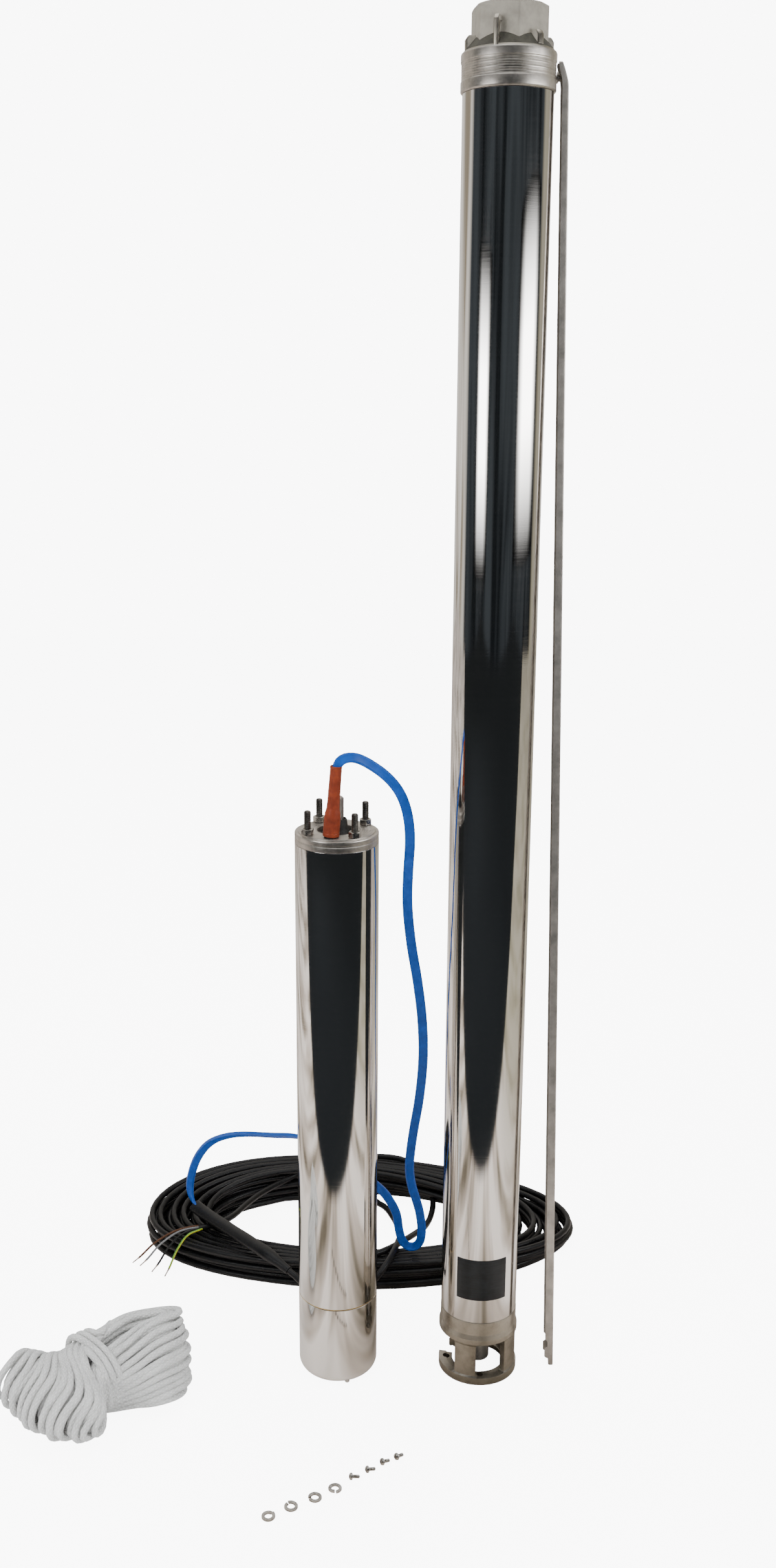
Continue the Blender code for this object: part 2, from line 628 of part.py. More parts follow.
def top_bearing(axis):
    """Spider under the head that carries the shaft's upper bush."""
    carrier = ring("top_bearing_carrier", PUMP_SPIGOT, PUMP_SPIGOT - CARRIER_RING_WALL,
                   CARRIER_BOTTOM, CARRIER_TOP, PLAIN_SIDES, STEEL_CAST, axis)
    bush_bore = SHAFT_CORNER + RUNNING_GAP
    bush_radius = bush_bore + BUSH_WALL
    hub = rod("carrier_hub", CARRIER_HUB_DIAMETER / 2, CARRIER_BOTTOM, CARRIER_TOP, PLAIN_SIDES, None, axis)
    for i in range(4):
        reach = PUMP_SPIGOT - CARRIER_RING_WALL / 2
        join(hub, outline_solid(f"carrier_rib_{i}", [[
            (0.001, CARRIER_BOTTOM + 0.003), (reach, CARRIER_BOTTOM + 0.003),
            (reach, CARRIER_TOP - 0.003), (0.001, CARRIER_TOP - 0.003),
        ]], CARRIER_RIB_THICKNESS, None, axis, radial_plane(45 + 90 * i)))
    join(carrier, hub)
    hole = bush_radius + SEAT_GAP
    cut(carrier, rod("bush_hole", hole, CARRIER_BOTTOM - 0.01, CARRIER_TOP + 0.01, PLAIN_SIDES, None, axis))
    ring("top_bearing_bush", bush_radius, bush_bore, CARRIER_BOTTOM, CARRIER_TOP, PLAIN_SIDES, RUBBER, axis)


def diffuser_stack(axis):
    """Stage bowls clamped one on another, each with a pocket for its impeller."""
    pocket = POCKET_DIAMETER / 2
    bore = HUB_BORE / 2
    inside = []
    for i in range(STAGE_COUNT):
        low = STAGE_BOTTOM + i * STAGE_PITCH
        ceiling = low + STAGE_PITCH * POCKET_SHARE
        inside += [(pocket, low + (0.004 if i else 0.0)), (pocket, ceiling)]
        inside += [(bore, ceiling + 0.012), (bore, low + STAGE_PITCH)]
    high = STAGE_BOTTOM + STAGE_COUNT * STAGE_PITCH
    turned("diffuser_stack", [(PUMP_SPIGOT, high), (PUMP_SPIGOT, STAGE_BOTTOM)] + inside,
           STAGE_SIDES, PLASTIC, axis)


def pump_rotor(axis):
    """Hexagonal shaft, its stack of impellers and the coupling at its foot."""
    height = SHAFT_TOP - SHAFT_BOTTOM
    outline_solid("pump_shaft", [polygon(SHAFT_CORNER, 6)], height, STEEL_BARE, axis,
                  Matrix.Translation((0, 0, SHAFT_BOTTOM + height / 2)))
    hub = HUB_DIAMETER / 2
    rim = POCKET_DIAMETER / 2 - IMPELLER_RUNNING_GAP
    outside = []
    for i in range(STAGE_COUNT):
        low = STAGE_BOTTOM + i * STAGE_PITCH + 0.004 + IMPELLER_RUNNING_GAP
        high = STAGE_BOTTOM + (i + POCKET_SHARE) * STAGE_PITCH - IMPELLER_RUNNING_GAP
        outside += [(hub, low), (rim, low + 0.004), (rim, low + (high - low) * 0.6), (hub, high)]
    inner = SHAFT_CORNER + RUNNING_GAP
    foot = STAGE_BOTTOM
    head = STAGE_BOTTOM + (STAGE_COUNT - 0.1) * STAGE_PITCH
    profile = [(inner, head), (inner, foot), (hub, foot)] + outside + [(hub, head)]
    turned("impeller_stack", profile, STAGE_SIDES, PLASTIC, axis)
    edge = 0.0015
    radius = COUPLING_DIAMETER / 2
    turned("shaft_coupling", [
        (radius - edge, COUPLING_TOP), (radius, COUPLING_TOP - edge), (radius, COUPLING_LIFT + edge),
        (radius - edge, COUPLING_LIFT), (inner + edge, COUPLING_LIFT), (inner, COUPLING_LIFT + edge),
        (inner, COUPLING_TOP),
    ], PLAIN_SIDES, STEEL_BARE, axis)


def suction_bracket(axis):
    """Cast bracket with inlet windows between four pillars, over the flange that meets the motor."""
    radius = BRACKET_DIAMETER / 2
    band = SLEEVE_RADIUS + 0.0003
    leg = radius - LEG_STEP
    inner = leg - LEG_THICKNESS
    pilot = PILOT_DIAMETER / 2 + RUNNING_GAP
    flare_top = WINDOW_TOP + COLLAR_BAND + FLARE_HEIGHT
    edge = 0.0008
    bracket = turned("suction_bracket", [
        (PUMP_SPIGOT, BRACKET_SPIGOT_TOP), (PUMP_SPIGOT, BRACKET_HEIGHT), (band, BRACKET_HEIGHT),
        (band, flare_top), (radius, flare_top - FLARE_HEIGHT), (radius, WINDOW_TOP),
        (leg, WINDOW_TOP - LEG_STEP * 2), (leg, BASE_FLANGE + LEG_STEP), (radius, BASE_FLANGE),
        (radius, edge), (radius - edge, 0), (pilot, 0), (pilot, PILOT_HEIGHT + RUNNING_GAP),
        (BASE_BORE / 2, PILOT_HEIGHT + RUNNING_GAP), (BASE_BORE / 2, BASE_FLANGE - 0.001),
        (inner, BASE_FLANGE - 0.001), (inner, WINDOW_TOP + 0.001), (INLET_BORE / 2, BRACKET_HEIGHT - 0.006),
        (INLET_BORE / 2, BRACKET_SPIGOT_TOP),
    ], FINE_SIDES, STEEL_CAST, axis)
    for i, (start, end) in enumerate(WINDOWS):
        spread = (end - start) / 6
        arc = [around(radius + 0.012, start + spread * j) for j in range(7)]
        back = [around(BASE_BORE / 2 - 0.005, end - spread * 3 * j) for j in range(3)]
        height = WINDOW_TOP - BASE_FLANGE - 2 * SEAT_GAP
        window = outline_solid(f"inlet_window_{i}", [arc + back], height, None, axis,
                               Matrix.Translation((0, 0, (WINDOW_TOP + BASE_FLANGE) / 2)))
        round_edges(window, WINDOW_FILLET)
        cut(bracket, window)
    hole = STUD_DIAMETER / 2 + STUD_HOLE_GAP
    for i in range(4):
        drill = rod(f"bracket_stud_hole_{i}", hole, -0.01, BASE_FLANGE + 0.01, SMALL_SIDES, None, axis,
                    at(STUD_CIRCLE / 2, BRACKET_STUD_AZIMUTH + 90 * i))
        cut(bracket, drill)
    return bracket


def round_edges(piece, width):
    bevel = piece.modifiers.new("Round", "BEVEL")
    bevel.width = width
    bevel.segments = 2
    bevel.limit_method = "ANGLE"
    bevel.angle_limit = math.radians(60)


def nameplate(axis):
    """Bare curved plate on the front of the sleeve."""
    start, end = (math.radians(azimuth) for azimuth in PLATE_AZIMUTHS)
    mesh = bpy.data.meshes.new("nameplate")
    radius = SLEEVE_RADIUS + SEAT_GAP
    top = PLATE_BOTTOM + PLATE_HEIGHT
    foot = Vector((radius * math.sin(start), -radius * math.cos(start), PLATE_BOTTOM))
    head = Vector((foot.x, foot.y, top))
    mesh.from_pydata([head, foot], [(0, 1)], [])
    plate = place("nameplate", mesh, PLATE, axis)
    bend = plate.modifiers.new("Bend", "SCREW")
    bend.axis = "Z"
    bend.angle = end - start
    bend.steps = 10
    bend.render_steps = 10
    bend.use_merge_vertices = False
    skin = plate.modifiers.new("Thickness", "SOLIDIFY")
    skin.thickness = PLATE_THICKNESS
    skin.offset = 1.0


def motor_shell(axis):
    ring("motor_shell", MOTOR_RADIUS, MOTOR_BORE, CUP_HEIGHT + SEAT_GAP, BAND_BOTTOM - SEAT_GAP,
         FINE_SIDES, MIRROR, axis)


def motor_cup(axis):
    """Drawn cup that closes the motor's foot, with the filling plug through its rounded corner."""
    outer_arc = []
    inner_arc = []
    corner_in = CUP_CORNER - MOTOR_WALL
    arc_steps = 4
    for i in range(arc_steps + 1):
        turn = math.pi / 2 * i / arc_steps
        centre = MOTOR_RADIUS - CUP_CORNER
        outer_arc.append((centre + CUP_CORNER * math.cos(turn), CUP_CORNER - CUP_CORNER * math.sin(turn)))
        inner_arc.append((centre + corner_in * math.cos(turn), CUP_CORNER - corner_in * math.sin(turn)))
    cup = turned("diaphragm_cover", [
        (MOTOR_RADIUS, CUP_HEIGHT)] + outer_arc + [(0, 0), (0, MOTOR_WALL)] + inner_arc[::-1]
        + [(MOTOR_BORE, CUP_HEIGHT)], FINE_SIDES, MIRROR, axis)
    spot = at(VENT_RADIUS, VENT_AZIMUTH)
    hole = VENT_DIAMETER / 2 + SEAT_GAP
    cut(cup, rod("vent_hole", hole, -0.01, CUP_CORNER, SMALL_SIDES, None, axis, spot))
    rod("vent_plug", VENT_DIAMETER / 2, SEAT_GAP, VENT_HEIGHT, SMALL_SIDES, STEEL_BARE, axis, spot, 0.0005)
    rim = MOTOR_BORE - SEAT_GAP
    top = BELL_BOTTOM - SEAT_GAP
    low = top - DIAPHRAGM_DEPTH
    wall = DIAPHRAGM_WALL
    turned("diaphragm", [
        (rim, top), (rim, top - 0.003), (rim - 0.001, top - 0.003), (rim - 0.001, low + 0.004),
        (rim - 0.005, low), (0, low), (0, low + wall), (rim - 0.006, low + wall),
        (rim - 0.001 - wall, low + 0.006), (rim - 0.001 - wall, top - 0.003), (rim - 0.006, top - 0.002),
        (rim - 0.006, top),
    ], PLAIN_SIDES, RUBBER, axis)


def motor_base(axis):
    """Lower end bell with its journal bush and the thrust bearing in its skirt."""
    skirt = SKIRT_DIAMETER / 2
    well = skirt - SKIRT_WALL
    turned("motor_base_bell", [
        (MOTOR_SPIGOT, BELL_TOP), (MOTOR_SPIGOT, BELL_BOTTOM), (skirt, BELL_BOTTOM), (skirt, SKIRT_BOTTOM),
        (well, SKIRT_BOTTOM), (well, BELL_CEILING), (BEARING_BORE, BELL_CEILING), (BEARING_BORE, BELL_TOP),
    ], PLAIN_SIDES, CAST_IRON, axis)
    ring("lower_bearing", BEARING_BORE - SEAT_GAP, SHAFT_BORE, BELL_CEILING, BELL_TOP, PLAIN_SIDES, CARBON, axis)
    pads = THRUST_DISC_DIAMETER / 2
    pad_bottom = SKIRT_BOTTOM + THRUST_PLATE
    thrust = ring("thrust_bearing", well - SEAT_GAP, SHAFT_BORE + 0.003, SKIRT_BOTTOM, pad_bottom,
                  PLAIN_SIDES, CARBON, axis)
    block = ring("thrust_pads", pads, SHAFT_BORE + 0.003, pad_bottom - JOIN_OVERLAP, THRUST_TOP,
                 PLAIN_SIDES, None, axis)
    for i in range(6):
        cut(block, outline_solid(f"pad_gap_{i}", [[
            (0.005, pad_bottom + 0.001), (pads + 0.01, pad_bottom + 0.001),
            (pads + 0.01, THRUST_TOP + 0.01), (0.005, THRUST_TOP + 0.01),
        ]], 0.003, None, axis, radial_plane(60 * i)))
    join(thrust, block)


def motor_head(axis):
    """Upper end bell: the standard flange, its journal bush, seal and lead outlet."""
    pilot = PILOT_DIAMETER / 2
    edge = 0.0006
    seal_bore = SHAFT_BORE + SEAL_WALL + SEAT_GAP
    recess = RECESS_DIAMETER / 2
    flange = turned("motor_top_flange", [
        (pilot - edge, MOTOR_HEIGHT), (pilot, MOTOR_HEIGHT - edge), (pilot, RIM_TOP),
        (MOTOR_RADIUS - edge, RIM_TOP), (MOTOR_RADIUS, RIM_TOP - edge), (MOTOR_RADIUS, BAND_BOTTOM),
        (MOTOR_SPIGOT, BAND_BOTTOM), (MOTOR_SPIGOT, FLANGE_BOTTOM), (BEARING_BORE, FLANGE_BOTTOM),
        (BEARING_BORE, SEAL_BOTTOM), (seal_bore, SEAL_BOTTOM), (seal_bore, RECESS_BOTTOM),
        (recess, RECESS_BOTTOM), (recess, MOTOR_HEIGHT),
    ], FINE_SIDES, STEEL_CAST, axis)
    hole = STUD_DIAMETER / 2 + STUD_HOLE_GAP
    for i in range(4):
        cut(flange, rod(f"motor_stud_hole_{i}", hole, MOTOR_HEIGHT - STUD_DEPTH - SEAT_GAP, MOTOR_HEIGHT + 0.01,
                        SMALL_SIDES, None, axis, at(STUD_CIRCLE / 2, MOTOR_STUD_AZIMUTH + 90 * i)))
    outlet = GLAND_DIAMETER / 2 + SEAT_GAP
    spot = at(GLAND_RADIUS, GLAND_AZIMUTH)
    cut(flange, rod("gland_hole", outlet, FLANGE_BOTTOM - 0.01, MOTOR_HEIGHT + 0.01, PLAIN_SIDES, None, axis, spot))
    ring("upper_bearing", BEARING_BORE - SEAT_GAP, SHAFT_BORE, FLANGE_BOTTOM, SEAL_BOTTOM - SEAT_GAP,
         PLAIN_SIDES, CARBON, axis)
    ring("lip_seal", seal_bore - SEAT_GAP, SHAFT_BORE, SEAL_BOTTOM, RECESS_BOTTOM, PLAIN_SIDES, RUBBER, axis)
    return spot


def motor_studs(axis):
    stud_mesh = None
    nut_mesh = None
    radius = STUD_DIAMETER / 2
    for i in range(4):
        spot = at(STUD_CIRCLE / 2, MOTOR_STUD_AZIMUTH + 90 * i)
        if stud_mesh is None:
            stud = rod(f"motor_stud_{i + 1}", radius, MOTOR_HEIGHT - STUD_DEPTH, MOTOR_HEIGHT + STUD_EXTENSION,
                       SMALL_SIDES, STEEL_BARE, axis, spot, 0.0008)
            stud_mesh = stud.data
        else:
            rod(f"motor_stud_{i + 1}", radius, MOTOR_HEIGHT - STUD_DEPTH, MOTOR_HEIGHT + STUD_EXTENSION,
                SMALL_SIDES, STEEL_BARE, axis, spot, 0.0008)
        lift = Matrix.Translation((0, 0, MOTOR_HEIGHT + SEAT_GAP + NUT_HEIGHT / 2))
        corner = NUT_ACROSS_FLATS / 2 / math.cos(math.pi / 6)
        if nut_mesh is None:
            outlines = [polygon(corner, 6), polygon(radius + STUD_HOLE_GAP, SMALL_SIDES)]
            nut = outline_solid("motor_nut_1", outlines, NUT_HEIGHT, STEEL_BARE, axis, spot @ lift)
            nut_mesh = nut.data
        else:
            place(f"motor_nut_{i + 1}", nut_mesh, STEEL_BARE, axis, spot @ lift)


def motor_windings(axis):
    bore = ROTOR_DIAMETER / 2 + AIR_GAP
    top = STATOR_TOP
    ring("stator_core", MOTOR_SPIGOT, bore, STATOR_BOTTOM, top, PLAIN_SIDES, CAST_IRON, axis)
    coil_outer = MOTOR_SPIGOT - 0.003
    coil_inner = bore + 0.002
    ring("lower_windings", coil_outer, coil_inner, STATOR_BOTTOM - SEAT_GAP - WINDING_HEIGHT,
         STATOR_BOTTOM - SEAT_GAP, PLAIN_SIDES, COPPER, axis, 0.006)
    ring("upper_windings", coil_outer, coil_inner, top + SEAT_GAP, top + SEAT_GAP + WINDING_HEIGHT,
         PLAIN_SIDES, COPPER, axis, 0.006)


def motor_rotor(axis):
    """Shaft with its splined end, the squirrel cage, the thrust disc and the sand slinger."""
    foot = THRUST_TOP - 0.002
    spline_low = MOTOR_HEIGHT - 0.001
    top = MOTOR_HEIGHT + SHAFT_EXTENSION
    shaft = rod("motor_shaft", SHAFT_RADIUS, foot, spline_low + 0.002, PLAIN_SIDES, STEEL_BARE, axis, None, 0.0008)
    outer = SPLINE_DIAMETER / 2
    teeth = []
    for i in range(SPLINE_TEETH):
        for share, radius in ((-0.30, outer - SPLINE_DEPTH), (-0.16, outer), (0.16, outer),
                              (0.30, outer - SPLINE_DEPTH)):
            turn = 2 * math.pi * (i + share) / SPLINE_TEETH
            teeth.append((radius * math.cos(turn), radius * math.sin(turn)))
    height = top - spline_low
    spline = outline_solid("shaft_spline", [teeth], height, None, axis,
                           Matrix.Translation((0, 0, spline_low + height / 2)))
    tip = turned("spline_tip", [
        (0, top + 0.001), (outer - SPLINE_DEPTH - 0.001, top + 0.001), (outer + 0.001, top - 0.0022),
        (outer + 0.001, spline_low - 0.001), (0, spline_low - 0.001),
    ], PLAIN_SIDES, None, axis)
    combine(spline, tip, "INTERSECT")
    join(shaft, spline)
    ring("rotor_core", ROTOR_DIAMETER / 2, SHAFT_BORE, STATOR_BOTTOM - ROTOR_OVERHANG,
         STATOR_TOP + ROTOR_OVERHANG, PLAIN_SIDES, CAST_IRON, axis)
    ring("thrust_disc", THRUST_DISC_DIAMETER / 2, SHAFT_BORE, DISC_BOTTOM, DISC_BOTTOM + THRUST_DISC_HEIGHT,
         PLAIN_SIDES, STEEL_BARE, axis, 0.001)
    slinger = SLINGER_DIAMETER / 2
    low = RECESS_BOTTOM + 0.0005
    turned("sand_slinger", [
        (slinger - 0.001, low + 0.005), (slinger, low + 0.004), (slinger, low), (slinger - 0.002, low),
        (slinger - 0.002, low + 0.003), (SHAFT_BORE, low + 0.003), (SHAFT_BORE, low + 0.005),
    ], PLAIN_SIDES, RUBBER, axis)


def lead_outlet(axis, spot):
    """Gland plug in the flange and the tapered boot over the lead."""
    gland = GLAND_DIAMETER / 2
    boot_bore = BOOT_BASE_DIAMETER / 2 - BOOT_WALL
    stub = boot_bore - RUNNING_GAP
    turned("lead_gland", [
        (0, MOTOR_HEIGHT + GLAND_STUB), (stub - 0.001, MOTOR_HEIGHT + GLAND_STUB),
        (stub - 0.001, MOTOR_HEIGHT + SEAT_GAP), (gland, MOTOR_HEIGHT + SEAT_GAP),
        (gland, MOTOR_HEIGHT - GLAND_DEPTH), (0, MOTOR_HEIGHT - GLAND_DEPTH),
    ], PLAIN_SIDES, RUBBER, axis, spot)
    lean = Matrix.Rotation(math.radians(BOOT_LEAN), 4, "Y")
    dip = BOOT_BASE_DIAMETER / 2 * math.sin(math.radians(BOOT_LEAN))
    lift = Matrix.Translation((0, 0, MOTOR_HEIGHT + SEAT_GAP + dip))
    base = BOOT_BASE_DIAMETER / 2
    top = BOOT_TOP_DIAMETER / 2
    stages = [(0.0, base), (0.28, base), (0.42, top + (base - top) * 0.25), (1.0, top)]
    outside = [(radius, share * BOOT_HEIGHT) for share, radius in stages]
    mouth = top - BOOT_WALL
    socket = GLAND_STUB + 0.002
    inside = [(mouth, BOOT_HEIGHT), (mouth, BOOT_HEIGHT - BOOT_MOUTH), (0, BOOT_HEIGHT - BOOT_MOUTH)]
    inside += [(0, socket), (boot_bore, socket), (boot_bore, 0)]
    turned("lead_boot", outside + inside, PLAIN_SIDES, ORANGE, axis, spot @ lift @ lean)

    boot = Matrix.Translation((*MOTOR_AXIS, 0)) @ spot @ lift @ lean
    bend = LEAD_BEND
    leaving = [boot @ Vector((0, 0, BOOT_HEIGHT - BOOT_MOUTH + SEAT_GAP)), boot @ Vector((0, 0, BOOT_HEIGHT + 0.001))]
    for turn in (0.4, 0.8, 1.2):
        across, rise = bend * (1 - math.cos(turn)), bend * math.sin(turn)
        leaving.append(leaving[1] + Vector((across, across * 0.3, rise)))
    return leaving


def cable_guard():
    """Thin channel that stands on its foot and leans on the head's screw, open towards the pump."""
    straight = GUARD_LENGTH - GUARD_TIP_LENGTH
    edge = [
        (0.0, straight), (0.0, 0.0), (0.003, 0.0), (0.006, 0.012), (GUARD_DEPTH, 0.016), (GUARD_DEPTH, 0.024),
        (0.007, 0.027), (0.007, 0.033), (GUARD_DEPTH - 0.0005, 0.037), (GUARD_TOP_DEPTH, straight - 0.012),
        (0.0032, straight - 0.002), (GUARD_TIP_BEND + 0.0028, GUARD_LENGTH - 0.0006),
        (GUARD_TIP_BEND, GUARD_LENGTH),
    ]
    hollow = [
        (GUARD_WALL, straight), (GUARD_WALL, -0.01), (0.03, -0.01), (0.03, GUARD_LENGTH + 0.02),
        (GUARD_WALL + GUARD_TIP_BEND * 1.5, GUARD_LENGTH + GUARD_TIP_LENGTH * 0.5),
    ]
    c, s = math.cos(GUARD_TURN), math.sin(GUARD_TURN)
    columns = Matrix((Vector((-c, 0, -s)), Vector((-s, 0, c)), Vector((0, 1, 0)))).transposed().to_4x4()
    stand = Matrix.Translation((GUARD_FOOT[0], GUARD_FOOT[1], 0.0001)) @ columns
    guard = outline_solid("cable_guard", [edge], GUARD_WIDTH, STEEL_BARE, None, stand)
    cut(guard, outline_solid("guard_hollow", [hollow], GUARD_WIDTH - 2 * GUARD_WALL, None, None, stand))

    height = GUARD_SCREW_LEVEL
    shank = GUARD_SCREW_DIAMETER / 2
    bend = (height / c + shank - straight) * GUARD_TIP_BEND / GUARD_TIP_LENGTH
    web = GUARD_FOOT[0] - (height * s + GUARD_WALL) / c - max(0, bend)
    reach = web - RING_EDGE - SEAT_GAP
    head = GUARD_SCREW_HEAD / 2
    foot = SEAT_GAP
    turned("guard_head_screw", [
        (0, reach), (shank, reach), (shank, foot + 0.0045), (head, foot + 0.0040), (head, foot + 0.0012),
        (head + 0.0015, foot + 0.0012), (head + 0.0015, foot), (shank, foot), (shank, -GUARD_SCREW_BITE),
        (0, -GUARD_SCREW_BITE),
    ], SMALL_SIDES, STEEL_BARE, None, Matrix.Translation((RING_EDGE, PUMP_AXIS[1], height)) @ SIDEWAYS)


def loose_washers():
    """Split spring washers lying flat."""
    outer = LOCK_WASHER_DIAMETER / 2
    inner = LOCK_WASHER_BORE / 2
    half_slit = LOCK_WASHER_SLIT / 2 / inner
    steps = 12
    span = 2 * math.pi - 2 * half_slit
    turns = [half_slit + span * i / steps for i in range(steps + 1)]
    outline = [(outer * math.cos(t), outer * math.sin(t)) for t in turns]
    outline += [(inner * math.cos(t), inner * math.sin(t)) for t in reversed(turns)]
    mesh = None
    for i, (x, y) in enumerate(LOCK_WASHER_PLACES):
        spot = Matrix.Translation((x, y, LOCK_WASHER_HEIGHT / 2)) @ Matrix.Rotation(0.9 + 1.3 * i, 4, "Z")
        if mesh is None:
            mesh = outline_solid("lock_washer_1", [outline], LOCK_WASHER_HEIGHT, STEEL_BARE, None, spot).data
        else:
            place(f"lock_washer_{i + 1}", mesh, STEEL_BARE, None, spot)


def loose_screws():
    """Pan-head screws lying on the rim of the head and the tip of the shank."""
    head = GUARD_SCREW_HEAD / 2
    shank = GUARD_SCREW_DIAMETER / 2
    length = LOOSE_SCREW_SHANK
    tilt = math.asin((head - shank) / math.hypot(length, head - shank))
    for i, (x, y) in enumerate(LOOSE_SCREW_PLACES):
        lie = Matrix.Rotation(math.pi / 2 + tilt, 4, "Y")
        lift = head * math.cos(tilt) + 0.0001
        spot = Matrix.Translation((x, y, lift)) @ Matrix.Rotation(math.radians(14 + 9 * i), 4, "Z") @ lie
        turned(f"guard_screw_{i + 1}", [
            (0, length), (shank, length), (shank, 0), (head, 0), (head, -LOOSE_SCREW_HEAD_HEIGHT * 0.5),
            (head * 0.6, -LOOSE_SCREW_HEAD_HEIGHT), (0, -LOOSE_SCREW_HEAD_HEIGHT),
        ], SMALL_SIDES, STEEL_BARE, None, spot)


def run_on(before, end, reach):
    """The point that lies straight on from a cord's end."""
    return end + (end - before).normalized() * reach


def cords(lead_start):
    splice = smooth_route(SPLICE_ROUTE, SPLICE_DIAMETER)
    straight = SPLICE_DIAMETER * 0.6
    drop = LEAD_ROUTE[-2:] + (run_on(splice[1], splice[0], straight),)
    top = LEAD_ROUTE[0][2]
    lift = lead_start[-1].z + LEAD_ARC_RISE - top
    hung = [(x, y, z + lift * max(0.0, (z - LEAD_SETTLED) / (top - LEAD_SETTLED)))
            for x, y, z in LEAD_ROUTE[:-1]]
    lead = lead_start + smooth_route(hung, LEAD_SPACING)
    lead += smooth_route(drop, SHORT_SPACING / 2)[1:] + [run_on(splice[1], splice[0], SEAT_GAP)]
    tube("blue_lead", lead, LEAD_DIAMETER, BLUE, None, 1)
    tube("splice_sleeve", splice, SPLICE_DIAMETER, BLACK, None)
    tail_start = [run_on(splice[-2], splice[-1], SEAT_GAP), run_on(splice[-2], splice[-1], straight)]
    tail = tail_start[:1] + smooth_route(tail_start[1:] + list(TAIL_ROUTE), SHORT_SPACING)
    tube("cable_tail", tail, CABLE_DIAMETER, BLACK, None, 1)
    root = Vector(CONDUCTOR_ROOT)
    for i, bends in enumerate(CONDUCTOR_BENDS):
        start = root + Vector((0.0, (1.5 - i) * CONDUCTOR_SPREAD, 0.0))
        points = smooth_route((start,) + bends, SHORT_SPACING)
        tube(f"conductor_{i + 1}", points, CONDUCTOR_DIAMETER, BLACK, None, 0)

    centre = Matrix.Translation((COIL_CENTRE[0], COIL_CENTRE[1], COIL_HEIGHT / 2 + 0.0001))
    outlines = [
        ellipse(COIL_HALF_LENGTH, COIL_HALF_WIDTH, 32),
        ellipse(COIL_HALF_LENGTH - COIL_BAND_LENGTH, COIL_HALF_WIDTH - COIL_BAND_WIDTH, 32),
    ]
    outline_solid("cable_coil", outlines, COIL_HEIGHT, BLACK, None, centre, COIL_EDGE)

    hank = []
    steps = 28
    for i in range(steps):
        turn = 2 * math.pi * i / steps
        waist = 1 - HANK_WAIST * math.exp(-(math.cos(turn) / 0.3) ** 2)
        hank.append((HANK_HALF_LENGTH * math.cos(turn), HANK_HALF_WIDTH * math.sin(turn) * waist))
    lay = Matrix.Translation((HANK_CENTRE[0], HANK_CENTRE[1], HANK_HEIGHT / 2 + 0.0001))
    lay = lay @ Matrix.Rotation(math.radians(HANK_TURN), 4, "Z")
    outline_solid("rope_hank", [hank], HANK_HEIGHT, ROPE, None, lay, HANK_EDGE)


clear_scene()
KIT = collection("borehole_pump_kit")
CUTTERS = collection("cutters")
SIDEWAYS = Matrix.Rotation(math.pi / 2, 4, "Y")

MIRROR = finish("mirror_stainless", (0.80, 0.80, 0.79), 0.06, 1.0)
STEEL_CAST = finish("cast_stainless", (0.52, 0.50, 0.46), 0.42, 1.0)
STEEL_BARE = finish("plain_stainless", (0.58, 0.57, 0.55), 0.30, 1.0)
CAST_IRON = finish("laminated_iron", (0.25, 0.25, 0.26), 0.55, 1.0)
COPPER = finish("winding_copper", (0.72, 0.38, 0.22), 0.40, 1.0)
BRASS = finish("valve_brass", (0.75, 0.60, 0.32), 0.35, 1.0)
CARBON = finish("bearing_carbon", (0.05, 0.05, 0.055), 0.50, 0.0)
PLASTIC = finish("stage_plastic", (0.62, 0.61, 0.56), 0.45, 0.0)
RUBBER = finish("seal_rubber", (0.03, 0.03, 0.03), 0.60, 0.0)
PLATE = finish("plate_black", (0.02, 0.03, 0.03), 0.35, 0.0)
ORANGE = finish("boot_orange", (0.45, 0.10, 0.03), 0.45, 0.0)
BLUE = finish("lead_blue", (0.0, 0.14, 0.45), 0.40, 0.0)
BLACK = finish("cable_black", (0.02, 0.02, 0.02), 0.45, 0.0)
ROPE = finish("rope_white", (0.75, 0.75, 0.72), 0.80, 0.0)

pump_axis = axis_empty("pump_axis", PUMP_AXIS)
motor_axis = axis_empty("motor_axis", MOTOR_AXIS)
discharge_head(pump_axis)
check_valve(pump_axis)
pump_sleeve(pump_axis)
top_bearing(pump_axis)
diffuser_stack(pump_axis)
pump_rotor(pump_axis)
suction_bracket(pump_axis)
nameplate(pump_axis)
motor_shell(motor_axis)
motor_cup(motor_axis)
motor_base(motor_axis)
gland_spot = motor_head(motor_axis)
motor_studs(motor_axis)
motor_windings(motor_axis)
motor_rotor(motor_axis)
lead_start = lead_outlet(motor_axis, gland_spot)
cable_guard()
loose_washers()
loose_screws()
cords(lead_start)
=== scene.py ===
"""Borehole pump kit: the looks of the pump end, its motor, the lead, cable, rope and loose parts."""

import math
import random

import bmesh
import bpy
import numpy as np
from bpy.props import FloatProperty, FloatVectorProperty, IntProperty, PointerProperty
from mathutils import Matrix, Vector


